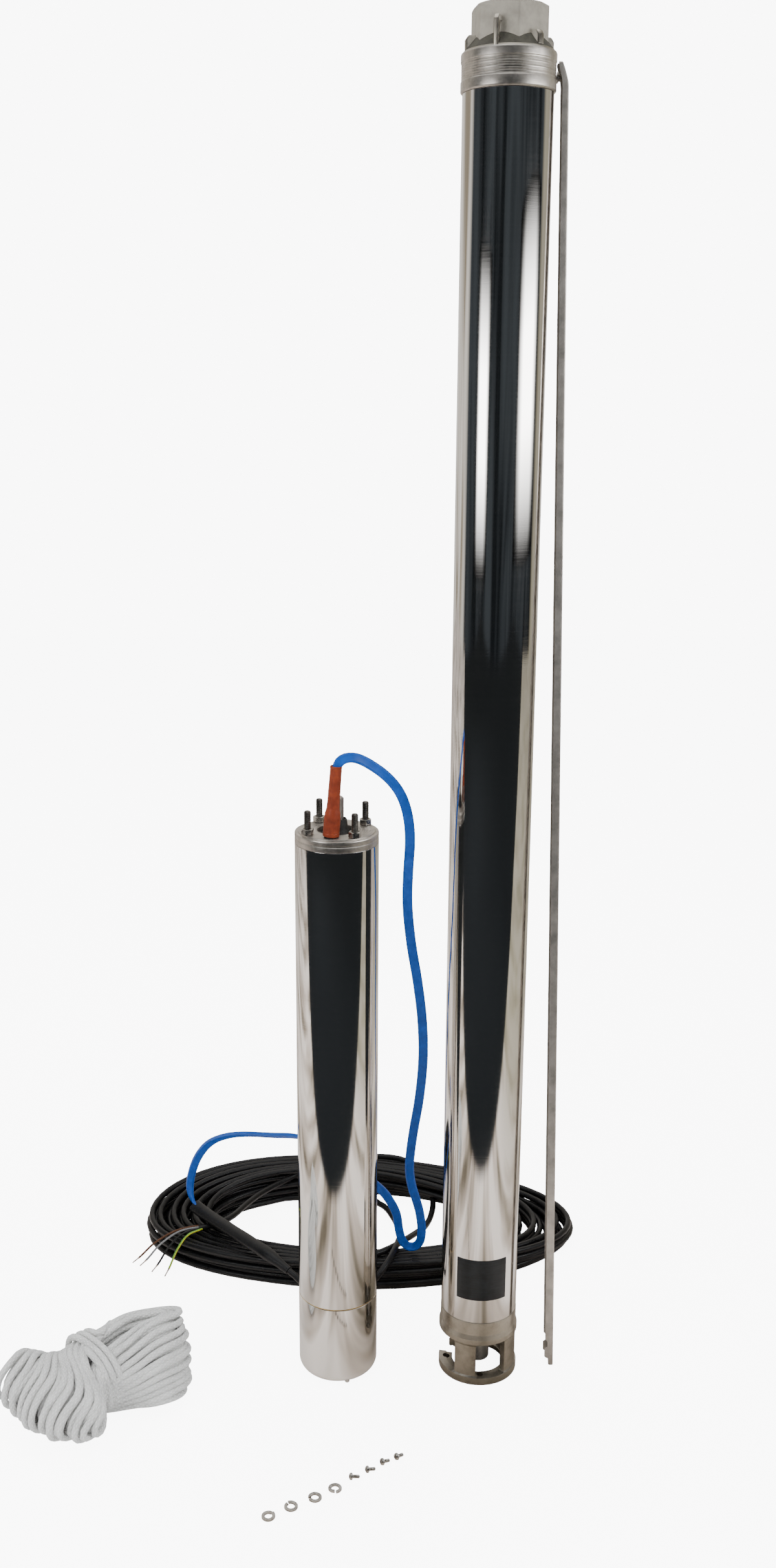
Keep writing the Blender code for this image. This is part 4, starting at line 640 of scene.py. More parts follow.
def braid(name, colour):
    """Plaited rope: two families of strands that cross along the cord."""
    if name in MADE:
        return MADE[name]
    made, tree, shader = new_finish(name, specular=0.25)
    shader.inputs["Sheen Weight"].default_value = 0.25
    around, along = along_cord(tree)
    slants = []
    for sign in (1.0, -1.0):
        lean = tree.nodes.new("ShaderNodeMath")
        lean.operation = "MULTIPLY_ADD"
        lean.inputs[1].default_value = 1.1 * sign
        tree.links.new(along, lean.inputs[0])
        scaled = tree.nodes.new("ShaderNodeMath")
        scaled.operation = "MULTIPLY"
        scaled.inputs[1].default_value = 6.0
        tree.links.new(around, scaled.inputs[0])
        tree.links.new(scaled.outputs["Value"], lean.inputs[2])
        slants.append(between(tree, wave_of(tree, lean.outputs["Value"], 2 * math.pi), 0.0, 1.0, -1.0, 1.0))
    plait = times(tree, slants[0], slants[1])
    soil = noise(tree, place_on(tree), 48.0, 5.0, 0.6)
    # The tint is darker where the plait is low: painted shade in the grooves between the strands, mixed with soil
    # noise.
    shade = sum_of(tree, between(tree, plait, 0.0, 0.45), between(tree, soil, 0.0, 0.55))
    tint = shades(tree, shade, [(0.15, shaded(colour, 0.70)), (0.42, shaded(colour, 0.93)), (0.75, shaded(colour, 1.12))])
    tree.links.new(tint, shader.inputs["Base Color"])
    tree.links.new(between(tree, soil, 0.70, 0.92), shader.inputs["Roughness"])
    fuzz = noise(tree, place_on(tree), 2200.0, 2.0)
    relief(tree, shader, sum_of(tree, plait, between(tree, fuzz, 0.0, 0.35)), 0.9, 0.0009)
    return made


def bare_copper():
    """Twisted strands of a stripped conductor."""
    if "bare_copper" in MADE:
        return MADE["bare_copper"]
    made, tree, shader = new_finish("bare_copper", metallic=1.0)
    strands = cord_lines(tree, 7.0)
    dull = noise(tree, place_on(tree), 500.0, 3.0)
    tree.links.new(shades(tree, dull, [(0.3, (0.42, 0.30, 0.24)), (0.7, (0.78, 0.66, 0.58))]),
                   shader.inputs["Base Color"])
    tree.links.new(between(tree, dull, 0.25, 0.42), shader.inputs["Roughness"])
    relief(tree, shader, strands, 0.7, 0.0003)
    return made


def earth_stripe():
    """Yellow and green halves of the earth conductor."""
    if "earth_stripe" in MADE:
        return MADE["earth_stripe"]
    made, tree, shader = new_finish("earth_stripe", specular=0.5)
    around, _ = along_cord(tree)
    side = between(tree, wave_of(tree, around, 2 * math.pi), 0.0, 1.0, -0.25, 0.25)
    scuff = noise(tree, place_on(tree), 400.0, 3.0)
    tint = shades(tree, side, [(0.40, (0.62, 0.60, 0.02)), (0.60, (0.13, 0.33, 0.03))])
    tree.links.new(tint, shader.inputs["Base Color"])
    tree.links.new(between(tree, scuff, 0.30, 0.48), shader.inputs["Roughness"])
    relief(tree, shader, scuff, 0.2, 0.00005)
    return made


def bare_plate(colour):
    """Screen printed black plate with nothing on it, slightly scratched."""
    if "bare_plate" in MADE:
        return MADE["bare_plate"]
    made, tree, shader = new_finish("bare_plate", specular=0.3, coat=0.08)
    scratches = noise(tree, place_on(tree, (30.0, 30.0, 500.0)), 1.0, 5.0, 0.7)
    cloud = noise(tree, place_on(tree), 85.0, 4.0, 0.6)
    tint = shades(tree, sum_of(tree, between(tree, scratches, 0.0, 0.5), between(tree, cloud, 0.0, 0.5)), [
        (0.42, colour), (0.62, shaded(colour, 2.4)), (0.80, (0.050, 0.054, 0.058))])
    tree.links.new(tint, shader.inputs["Base Color"])
    tree.links.new(between(tree, cloud, 0.22, 0.42), shader.inputs["Roughness"])
    relief(tree, shader, scratches, 0.15, 0.00005)
    return made


# Shapes

def around(radius, azimuth, height=0.0):
    """A point at an azimuth from the front, turning towards +X."""
    turn = math.radians(azimuth)
    return Vector((radius * math.sin(turn), -radius * math.cos(turn), height))


def outwards(azimuth):
    """Outline X runs outwards, outline Y runs up, and depth runs round the axis."""
    out = around(1.0, azimuth)
    up = Vector((0.0, 0.0, 1.0))
    return Matrix((out, up, out.cross(up))).transposed().to_4x4()


def rounded(corners, closed=True, steps=4):
    """A section's points from (radius, height, fillet) corners."""
    points = []
    count = len(corners)
    for i, (x, y, fillet) in enumerate(corners):
        here = Vector((x, y))
        if fillet <= 0 or (not closed and i in (0, count - 1)):
            points.append((x, y))
            continue
        before = Vector(corners[i - 1][:2])
        after = Vector(corners[(i + 1) % count][:2])
        back = (before - here).normalized()
        ahead = (after - here).normalized()
        half = math.acos(max(-1.0, min(1.0, back.dot(ahead)))) / 2
        reach = min(fillet / max(0.05, math.tan(half)), (before - here).length * 0.48, (after - here).length * 0.48)
        for j in range(steps + 1):
            t = j / steps
            spot = (here + back * reach) * (1 - t) ** 2 + here * 2 * t * (1 - t) + (here + ahead * reach) * t ** 2
            points.append((spot.x, spot.y))
    return points


def new_mesh(name, verts, faces, sharp=35.0):
    mesh = bpy.data.meshes.new(name)
    mesh.from_pydata([tuple(v) for v in verts], [], faces)
    work = bmesh.new()
    work.from_mesh(mesh)
    bmesh.ops.recalc_face_normals(work, faces=work.faces)
    work.to_mesh(mesh)
    work.free()
    mesh.shade_smooth()
    mesh.set_sharp_from_angle(angle=math.radians(sharp))
    return mesh


def piece(name, mesh, finish=None, matrix=None):
    made = bpy.data.objects.new(name, mesh)
    if finish is not None:
        mesh.materials.append(finish)
    bpy.context.scene.collection.objects.link(made)
    if matrix is not None:
        made.matrix_world = matrix
    return made


def lathe(name, profile, sides=ROUND_SIDES, centre=None, finish=None, matrix=None):
    """A piece turned about Z. Points of radius nought lie on the axis."""
    on_axis = [i for i, (radius, _) in enumerate(profile) if radius <= 1e-7]
    solid = len(on_axis) >= 2
    if solid:
        start = next(i for i in on_axis if (i - 1) % len(profile) in on_axis)
        profile = profile[start:] + profile[:start]
    verts = []
    first = []
    offset = centre or Vector((0.0, 0.0, 0.0))
    for radius, height in profile:
        first.append(len(verts))
        if radius <= 1e-7:
            verts.append(offset + Vector((0.0, 0.0, height)))
            continue
        for j in range(sides):
            turn = 2 * math.pi * j / sides
            verts.append(offset + Vector((radius * math.cos(turn), radius * math.sin(turn), height)))
    faces = []
    pairs = list(zip(range(len(profile)), range(1, len(profile))))
    if not solid:
        pairs.append((len(profile) - 1, 0))
    for a, b in pairs:
        a_axis = profile[a][0] <= 1e-7
        b_axis = profile[b][0] <= 1e-7
        if a_axis and b_axis:
            continue
        for j in range(sides):
            k = (j + 1) % sides
            if a_axis:
                faces.append((first[a], first[b] + j, first[b] + k))
            elif b_axis:
                faces.append((first[a] + j, first[b], first[a] + k))
            else:
                faces.append((first[a] + j, first[b] + j, first[b] + k, first[a] + k))
    return piece(name, new_mesh(name, verts, faces), finish, matrix)


def ring_profile(outer, inner, bottom, top, edge=0.0004):
    return rounded([(outer, top, edge), (outer, bottom, edge), (inner, bottom, edge), (inner, top, edge)])


def threaded(name, radius, pitch, depth, low, high, sides=SMALL_SIDES, ends=0.0008, finish=None, matrix=None):
    """A rod with a helical thread and chamfered ends."""
    rows = max(8, int((high - low) / pitch * 6))
    verts = []
    for i in range(rows + 1):
        height = low + (high - low) * i / rows
        for j in range(sides):
            phase = (height / pitch - j / sides) % 1.0
            tooth = abs(phase - 0.5) * 2
            limit = min(height - low, high - height) + radius - ends - depth * 0.5
            reach = min(radius - depth * tooth, max(radius * 0.5, limit))
            turn = 2 * math.pi * j / sides
            verts.append((reach * math.cos(turn), reach * math.sin(turn), height))
    faces = []
    for i in range(rows):
        for j in range(sides):
            k = (j + 1) % sides
            faces.append((i * sides + j, i * sides + k, (i + 1) * sides + k, (i + 1) * sides + j))
    faces.append(tuple(range(sides)))
    faces.append(tuple(rows * sides + j for j in range(sides)))
    return piece(name, new_mesh(name, verts, faces, 50.0), finish, matrix)


def prism(name, outline, depth, matrix=None, edge=0.0, segments=3, finish=None):
    """A flat outline as a solid centred on its own plane, with its edges rounded."""
    count = len(outline)
    verts = [(x, y, -depth / 2) for x, y in outline] + [(x, y, depth / 2) for x, y in outline]
    faces = [tuple(range(count)), tuple(range(count, 2 * count))]
    faces += [(i, (i + 1) % count, count + (i + 1) % count, count + i) for i in range(count)]
    made = piece(name, new_mesh(name, verts, faces), finish, matrix)
    if edge > 0:
        round_edges(made, edge, segments)
    return made


def round_edges(made, width, segments=3, angle=40.0):
    bevel = made.modifiers.new("Round", "BEVEL")
    bevel.width = width
    bevel.segments = segments
    bevel.limit_method = "ANGLE"
    bevel.angle_limit = math.radians(angle)


def combine(made, tools, operation):
    for tool in tools:
        step = made.modifiers.new(tool.name, "BOOLEAN")
        step.operation = operation
        step.object = tool
        step.solver = "EXACT"
        tool.hide_render = True


def settled(made, tools=(), sharp=35.0):
    """The piece with its modifiers applied and its tools gone."""
    bpy.context.view_layer.update()
    result = made.evaluated_get(bpy.context.evaluated_depsgraph_get())
    mesh = bpy.data.meshes.new_from_object(result)
    made.modifiers.clear()
    made.data = mesh
    mesh.shade_smooth()
    mesh.set_sharp_from_angle(angle=math.radians(sharp))
    for tool in tools:
        bpy.data.objects.remove(tool, do_unlink=True)
    return made


def joined(name, pieces):
    """One piece from several bodies, each keeping its finish."""
    finishes = []
    work = bmesh.new()
    for part in pieces:
        slots = []
        for finish in part.data.materials:
            if finish not in finishes:
                finishes.append(finish)
            slots.append(finishes.index(finish))
        before = len(work.faces)
        work.from_mesh(part.data)
        work.faces.ensure_lookup_table()
        fresh = work.faces[before:]
        for face in fresh:
            face.material_index = slots[face.material_index] if slots else 0
        bmesh.ops.transform(work, matrix=part.matrix_world, verts=list({v for f in fresh for v in f.verts}))
    mesh = bpy.data.meshes.new(name)
    work.to_mesh(mesh)
    work.free()
    for finish in finishes:
        mesh.materials.append(finish)
    for part in pieces:
        bpy.data.objects.remove(part, do_unlink=True)
    made = bpy.data.objects.new(name, mesh)
    bpy.context.scene.collection.objects.link(made)
    return made


def polygon(radius, sides, start=0.0):
    step = 2 * math.pi / sides
    return [(radius * math.cos(start + i * step), radius * math.sin(start + i * step)) for i in range(sides)]


def smooth_route(route, spacing):
    """Evenly spaced points on the smooth curve through a route's own points."""
    knots = [Vector(point) for point in route]
    knots = [knots[0] * 2 - knots[1]] + knots + [knots[-1] * 2 - knots[-2]]
    fine = []
    steps = 12
    for before, start, end, after in zip(knots, knots[1:], knots[2:], knots[3:]):
        for i in range(steps):
            t = i / steps
            bend = (2 * before - 5 * start + 4 * end - after) * t ** 2
            twist = (3 * start - before - 3 * end + after) * t ** 3
            fine.append((2 * start + (end - before) * t + bend + twist) / 2)
    fine.append(knots[-2])
    lengths = [0.0]
    for a, b in zip(fine, fine[1:]):
        lengths.append(lengths[-1] + (b - a).length)
    count = max(2, round(lengths[-1] / spacing))
    points = []
    j = 0
    for i in range(count + 1):
        wanted = lengths[-1] * i / count
        while j < len(fine) - 2 and lengths[j + 1] < wanted:
            j += 1
        share = (wanted - lengths[j]) / (lengths[j + 1] - lengths[j])
        points.append(fine[j].lerp(fine[j + 1], min(1.0, share)))
    return points


def eased(points, passes):
    """The same points with their sharp bends eased. Both ends stay."""
    for _ in range(passes):
        inner = [b * 0.5 + (a + c) * 0.25 for a, b, c in zip(points, points[1:], points[2:])]
        points = points[:1] + inner + points[-1:]
    return points


def route_length(points):
    return sum((b - a).length for a, b in zip(points, points[1:]))


def sweep(name, points, section, finishes, facing=None, scale_at=None, finish_at=None, sharp=50.0):
    """A section carried along a route, with filled ends and its place round and along the cord kept."""
    count = len(section)
    width = max(abs(a) for a, _ in section) * 2
    tangents = []
    for i in range(len(points)):
        ahead = points[min(i + 1, len(points) - 1)] - points[max(i - 1, 0)]
        tangents.append(ahead.normalized())
    side = tangents[0].orthogonal().normalized()
    verts = []
    marks = []
    gone = 0.0
    for i, (point, tangent) in enumerate(zip(points, tangents)):
        if facing is not None:
            side = tangent.cross(facing[i] if isinstance(facing, list) else facing).normalized()
        else:
            side = (side - tangent * side.dot(tangent)).normalized()
        up = side.cross(tangent)
        if i:
            gone += (point - points[i - 1]).length
        size = scale_at(i, gone) if scale_at else 1.0
        grow = size if isinstance(size, tuple) else (size, size)
        marks.append(gone / width)
        for a, b in section:
            verts.append(point + side * (a * grow[0]) + up * (b * grow[1]))
    faces = []
    for i in range(len(points) - 1):
        for j in range(count):
            k = (j + 1) % count
            faces.append((i * count + j, i * count + k, (i + 1) * count + k, (i + 1) * count + j))
    last = (len(points) - 1) * count
    faces.append(tuple(range(count)))
    faces.append(tuple(last + j for j in range(count)))
    mesh = bpy.data.meshes.new(name)
    mesh.from_pydata([tuple(v) for v in verts], [], faces)
    layer = mesh.uv_layers.new(name="along")
    for face in mesh.polygons:
        capped = len(face.vertices) == count and face.index >= len(faces) - 2
        for corner, vertex in zip(face.loop_indices, face.vertices):
            ring, spot = divmod(vertex, count)
            share = spot / count
            if not capped and spot == 0 and any(v % count == count - 1 for v in face.vertices):
                share = 1.0
            layer.data[corner].uv = (share, marks[ring])
        if finish_at is not None:
            face.material_index = finish_at(min(v // count for v in face.vertices))
    work = bmesh.new()
    work.from_mesh(mesh)
    bmesh.ops.recalc_face_normals(work, faces=work.faces)
    work.to_mesh(mesh)
    work.free()
    mesh.shade_smooth()
    mesh.set_sharp_from_angle(angle=math.radians(sharp))
    for finish in finishes:
        mesh.materials.append(finish)
    made = bpy.data.objects.new(name, mesh)
    bpy.context.scene.collection.objects.link(made)
    return made


def keep(made, body, *nodes, slot=None):
    """The piece rides on a body and stands for its solids, which it hides. Its slot is not used."""
    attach(made, body)
    if nodes:
        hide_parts(*nodes)
    return made


def dress(node, finish):
    """A solid that stays in view gets its own finish."""
    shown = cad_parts[node]
    if not shown.material_slots:
        shown.data.materials.append(finish)
    for slot in shown.material_slots:
        slot.material = finish


# Cords

def boot_frame():
    lean = Matrix.Rotation(math.radians(BOOT_LEAN), 4, "Y")
    foot = MOTOR_AXIS + around(GLAND_RADIUS, GLAND_AZIMUTH, FACE_LEVEL + 0.001)
    return Matrix.Translation(foot) @ lean


def run_on(before, end, reach):
    return end + (end - before).normalized() * reach


def lead_points():
    boot = boot_frame()
    points = [boot @ Vector((0, 0, height)) for height in (0.0683, 0.0745, 0.0810)]
    for turn in (0.4, 0.8, 1.2):
        across = 0.007 * (1 - math.cos(turn))
        points.append(points[2] + Vector((across, across * 0.3, 0.007 * math.sin(turn))))
    splice = smooth_route(SPLICE_ROUTE, 0.018)
    ahead = run_on(splice[1], splice[0], 0.0060)
    route = points + [Vector(point) for point in LEAD_ROUTE] + [ahead + Vector((-0.0010, 0.0010, 0.0040))]
    points = eased(smooth_route(route + splice[:7], 0.0045), 5)
    into_splice = 40
    return points[:-into_splice] + eased(points[-into_splice:], 12)


def flat_section(width, thickness, cores=3, steps=36):
    """Flat jacket whose faces swell a little over each core."""
    section = []
    for i in range(steps):
        turn = 2 * math.pi * i / steps
        c, s = math.cos(turn), math.sin(turn)
        x = width / 2 * math.copysign(abs(c) ** 0.55, c)
        swell = 0.90 + 0.10 * math.cos(2 * math.pi * cores * x / width + math.pi * (cores + 1))
        y = thickness / 2 * math.copysign(abs(s) ** 0.75, s) * swell
        section.append((x, y))
    return section


def round_section(diameter, steps=12):
    return [(x, y) for x, y in polygon(diameter / 2, steps)]


def coil_points(diameter):
    """The tail from the splice, the turns laid side by side in layers, and the last loose turn."""
    splice = smooth_route(SPLICE_ROUTE, 0.018)
    start = [run_on(splice[-2], splice[-1], 0.0003), run_on(splice[-2], splice[-1], 0.0108)]
    tail = start[:1] + smooth_route(start[1:] + list(TAIL_ROUTE), 0.012)
    dice = random.Random(11)
    slots = []
    stagger = (0.10, 0.55, 0.35, 0.80, 0.20)
    for level, count in enumerate(COIL_ROWS):
        places = [((i + 0.5) / 6 + (0.0 if count == 6 else 0.5 / 6), level, (i + stagger[level]) / 6)
                  for i in range(count)]
        if level % 2:
            places = places[::-1]
        slots += places
    per_turn = 60
    wander = [(dice.uniform(0, 6.28), dice.uniform(0, 6.28), dice.uniform(0.6, 1.4)) for _ in slots] + [(0, 0, 1)]
    slots.append(slots[-1])
    radius = diameter / 2
    turns = []
    begin = math.radians(100)
    total = (len(slots) - 1) * per_turn - int(per_turn * 0.585)
    for i in range(total + 1):
        k, share = divmod(i / per_turn, 1.0)
        k = int(k)
        share = share * share * (3 - 2 * share)
        place = slots[k][0] * (1 - share) + slots[k + 1][0] * share
        level = slots[k][1] * (1 - share) + slots[k + 1][1] * share
        far = slots[k][2] * (1 - share) + slots[k + 1][2] * share
        angle = begin + 2 * math.pi * i / per_turn
        end = max(0.0, math.cos(angle)) ** 2
        left = max(0.0, -math.cos(angle)) ** 2
        loose = end + 0.6 * left
        first, second, weight = wander[k]
        third, fourth, later = wander[k + 1]
        wave = (math.sin(angle * 2 + first) * weight * (1 - share) + math.sin(angle * 2 + third) * later * share)
        roll = (math.sin(angle * 3 + second) * weight * (1 - share) + math.sin(angle * 3 + fourth) * later * share)
        spread = place * (1 - loose) + far * loose if loose < 1 else far
        spread += wave * 0.030 * loose + roll * 0.012
        spread = min(0.95, max(0.05, spread))
        band = COIL_BAND_LENGTH if math.cos(angle) > 0 else COIL_BAND_LENGTH * 0.72
        half_x = COIL_HALF_LENGTH - radius - (1 - spread) * (band - diameter) + 0.013 * end + 0.008 * left
        half_y = COIL_HALF_WIDTH - radius - (1 - spread) * (COIL_BAND_WIDTH - diameter)
        stacked = radius + level * diameter * 0.965
        fallen = radius + (level // 2) * diameter * 0.95 + (level - 2 * (level // 2)) * diameter * 0.25
        height = stacked * (1 - 0.85 * end - 0.22 * left) + fallen * (0.85 * end + 0.22 * left)
        height += 0.0006 * roll * (1 if level > 0.5 else 0)
        sprung = max(0.0, math.cos(angle - math.radians(135))) ** 3
        height *= 1 + 0.42 * sprung
        turns.append(COIL_CENTRE + Vector((half_x * math.cos(angle), half_y * math.sin(angle), max(radius, height))))
    lead_in = smooth_route([tail[-3], tail[-1], turns[3], turns[5]], 0.012)
    last = smooth_route([turns[-3], turns[-1]] + list(LAST_TURN), 0.012)
    return tail[:-2] + lead_in[1:-1] + turns[5:-2] + last[1:]


def lobe_half(row, middle):
    """Half width of the hank at a layer: round on top, flatter where it lies."""
    away = (row - middle) / middle
    reach = 0.88 * away if away > 0 else 0.55 * away
    return HANK_HALF_WIDTH * math.sqrt(1 - reach * reach)


def rolled(u, v, w, nest, pitch):
    """The lobes roll about the hank's length: the left one far over to the front, the right one a little back."""
    share = min(1.0, max(0.0, (abs(u) - 0.012) / 0.055))
    share = share * share * (3 - 2 * share)
    turn = math.radians(98.0 if u < 0 else -30.0) * share
    c, s = math.cos(turn), math.sin(turn)
    middle = HANK_HEIGHT * 0.50
    spread = 1.50 if u < 0 else 1.10
    across = v * c - (w - middle) * spread * s + 0.40 * pitch * math.cos(math.pi * nest) * abs(s)
    height = middle + (w - middle) * c + v * 0.62 * s
    return Vector((u * (1 - 30.0 * across * across), across, height))


def bent(point):
    """The hank bends at its waist, its left lobe forwards and its right lobe back."""
    share = math.tanh(point.x / 0.035)
    most = math.radians(25.0 if point.x < 0 else 13.0)
    turn = -most * share * min(1.0, abs(point.x) / 0.06)
    c, s = math.cos(turn), math.sin(turn)
    return Vector((point.x * c - point.y * s, point.x * s + point.y * c, point.z))


def rope_points(diameter, layers, nests):
    """Loops laid in layers and nests, squeezed at the waist, and three passes round it."""
    dice = random.Random(5)
    radius = diameter / 2
    slots = []
    middle = (layers - 1) / 2
    for nest in range(nests):
        rows = [row for row in range(layers) if lobe_half(row, middle) - nest * diameter > diameter * 2.3]
        slots += [(nest, row) for row in (rows if nest % 2 == 0 else rows[::-1])]
    wander = [[dice.uniform(-1, 1) for _ in range(5)] for _ in slots]
    wander.append([0.0] * 5)
    slots.append(slots[-1])
    per_turn = 40
    points = []
    pitch = (HANK_HEIGHT - diameter) / (layers - 1)
    for i in range((len(slots) - 1) * per_turn + 1):
        k = min(len(slots) - 2, i // per_turn)
        share = i / per_turn - k
        share = share * share * (3 - 2 * share)
        nest = slots[k][0] * (1 - share) + slots[k + 1][0] * share
        row = slots[k][1] * (1 - share) + slots[k + 1][1] * share
        sway = [a * (1 - share) + b * share for a, b in zip(wander[k], wander[k + 1])]
        angle = math.pi / 2 + 2 * math.pi * i / per_turn
        c, s = math.cos(angle), math.sin(angle)
        inset = nest * diameter * 1.02
        u = (HANK_HALF_LENGTH - radius - inset * 0.80) * math.copysign(abs(c) ** 0.9, c)
        waist = math.exp(-((u / 0.034) ** 2))
        v = (lobe_half(row, middle) - radius - inset) * math.copysign(abs(s) ** 0.8, s)
        v *= 1 - 0.47 * waist
        v += 0.0034 * sway[0] * (1 - waist) * math.sin(angle * 2 + sway[1] * 3)
        u += 0.0050 * (sway[2] - 0.35) * c * abs(c) ** 2
        rise = radius + row * pitch
        rise += 0.0032 * sway[3] * (1 - waist) * math.sin(angle + sway[4] * 3)
        squeezed = 0.0085 + (row / (layers - 1)) * (HANK_HEIGHT * 0.88 - 0.017)
        point = rolled(u, v, rise * (1 - waist) + squeezed * waist, nest, pitch)
        point.z = min(HANK_HEIGHT + 0.004, max(radius, point.z))
        points.append(point)
    wraps = []
    passes = 3
    steps = 26
    top = HANK_HEIGHT * 0.88 + 0.002
    half = HANK_HALF_WIDTH * 0.62
    for i in range(passes * steps + 1):
        turn = math.pi / 2 + 2 * math.pi * i / steps
        c, s = math.cos(turn), math.sin(turn)
        v = half * math.copysign(abs(c) ** 0.7, c)
        w = (top + radius) / 2 + (top - radius) / 2 * math.copysign(abs(s) ** 0.75, s)
        u = -0.0135 + 0.0090 * i / steps - 0.10 * (w - 0.035) - 0.12 * v
        wraps.append(Vector((u, v, w)))
    last = points[-1]
    bridge = [last + (wraps[0] - last) * t + Vector((0, 0, 0.004 * math.sin(math.pi * t))) for t in (0.35, 0.7)]
    tuck = [wraps[-1] + Vector((0.006, 0.010, -0.001)), wraps[-1] + Vector((0.014, 0.024, -0.004)),
            wraps[-1] + Vector((0.024, 0.036, -0.009))]
    lay = Matrix.Translation(HANK_CENTRE) @ Matrix.Rotation(HANK_TURN, 4, "Z")
    route = eased([bent(point) for point in points + bridge + wraps + tuck], 2)
    return [lay @ point for point in smooth_route(route, 0.008)]


class PUMPKIT_OT_lead(bpy.types.Operator):
    """Flat blue lead from the motor's boot to the splice, and the splice's sleeve."""

    bl_idname = "pumpkit.lead"
    bl_label = "Lead and splice"

    def execute(self, context):
        sizes = context.scene.pump_kit_sizes
        colours = context.scene.pump_kit_finishes
        points = lead_points()
        section = flat_section(sizes.lead_width, sizes.lead_thickness)
        blue = jacket("lead_jacket", tuple(colours.lead), 0.28, 0.46)
        facing = []
        for i in range(len(points)):
            share = min(1.0, max(0.0, (i / len(points) - 0.62) / 0.10))
            flat = Vector((0.0, -1.0, 0.45)).normalized()
            edge = Vector((-0.35, -0.55, -0.75)).normalized()
            facing.append(flat.slerp(edge, share * share * (3 - 2 * share)))

        def gathered(_, gone):
            share = min(1.0, gone / 0.020)
            share = share * share * (3 - 2 * share)
            return (0.72 + 0.28 * share, 1.35 - 0.35 * share)

        lead = sweep("blue_lead_jacket", points, section, [blue], facing, gathered)
        keep(lead, "kit", "blue_lead", slot="lead_blue")

        black = jacket("sleeve_jacket", shaded(tuple(colours.cable), 1.5), 0.30, 0.50, 5.0)
        route = smooth_route(SPLICE_ROUTE, 0.006)
        whole = route_length(route)

        def shrunk(_, gone):
            tail = max(0.0, (gone - (whole - 0.045)) / 0.045)
            tail = tail * tail * (3 - 2 * tail)
            waist = 1.0 + 0.02 * math.sin(gone * 130.0)
            return ((1.10 - 0.48 * tail) * waist, (0.80 - 0.20 * tail) * waist)

        sleeve = sweep("splice_tube", route, round_section(0.018, 28), [black], Vector((0.25, -0.35, 1.0)), shrunk)
        keep(sleeve, "kit", "splice_sleeve", slot="cable_black")
        return {"FINISHED"}


class PUMPKIT_OT_cable(bpy.types.Operator):
    """Black cable: tail, coil of turns and free end."""

    bl_idname = "pumpkit.cable"
    bl_label = "Cable coil"

    def execute(self, context):
        sizes = context.scene.pump_kit_sizes
        colours = context.scene.pump_kit_finishes
        points = coil_points(sizes.cable_diameter)
        black = jacket("cable_jacket", tuple(colours.cable), 0.24, 0.44, 3.0)
        cable = sweep("cable_turns", points, round_section(sizes.cable_diameter, 14), [black])
        keep(cable, "kit", "cable_coil", "cable_tail", slot="cable_black")
        return {"FINISHED"}


class PUMPKIT_OT_conductors(bpy.types.Operator):
    """Four insulated conductors with stripped tips."""

    bl_idname = "pumpkit.conductors"
    bl_label = "Conductors"

    def execute(self, context):
        sizes = context.scene.pump_kit_sizes
        skins = (
            earth_stripe(),
            jacket("core_grey", (0.20, 0.20, 0.20), 0.32, 0.48),
            jacket("core_black", (0.012, 0.012, 0.012), 0.30, 0.46),
            jacket("core_brown", (0.090, 0.035, 0.014), 0.32, 0.48),
        )
        slots = ("wire_yellow_green", "wire_grey", "wire_black", "wire_brown")
        order = (3, 1, 2, 0)
        tip = bare_copper()
        for i, bends in enumerate(CONDUCTOR_BENDS):
            start = CONDUCTOR_ROOT + Vector((0.0, (1.5 - i) * CONDUCTOR_SPREAD, 0.0))
            gathered = CONDUCTOR_ROOT + Vector((0.007, 0.0035 + (1.5 - i) * 0.0012, -0.0002))
            points = eased(smooth_route((tuple(gathered), tuple(start)) + bends, 0.004), 4)
            whole = route_length(points)
            bare = whole - sizes.bare_tip

            def thinned(_, gone, bare=bare):
                return 1.0 if gone < bare else 0.62

            stripped = next(n for n in range(len(points)) if route_length(points[:n + 1]) >= bare)
            wire = sweep(f"conductor_core_{i + 1}", points, round_section(sizes.conductor_diameter, 12),
                         [skins[order[i]], tip], None, thinned,
                         lambda ring, stripped=stripped: 1 if ring >= stripped - 1 else 0)
            keep(wire, "kit", f"conductor_{i + 1}", slot=slots[order[i]])
        return {"FINISHED"}


class PUMPKIT_OT_rope(bpy.types.Operator):
    """White rope in a hank, tied round its waist with its own end."""

    bl_idname = "pumpkit.rope"
    bl_label = "Rope hank"

    def execute(self, context):
        sizes = context.scene.pump_kit_sizes
        white = braid("rope_braid", tuple(context.scene.pump_kit_finishes.rope))
        points = rope_points(sizes.rope_diameter, sizes.rope_layers, sizes.rope_nests)
        rope = sweep("rope_loops", points, round_section(sizes.rope_diameter, 12), [white])
        keep(rope, "kit", "rope_hank", slot="rope_white")
        return {"FINISHED"}


# Pump end

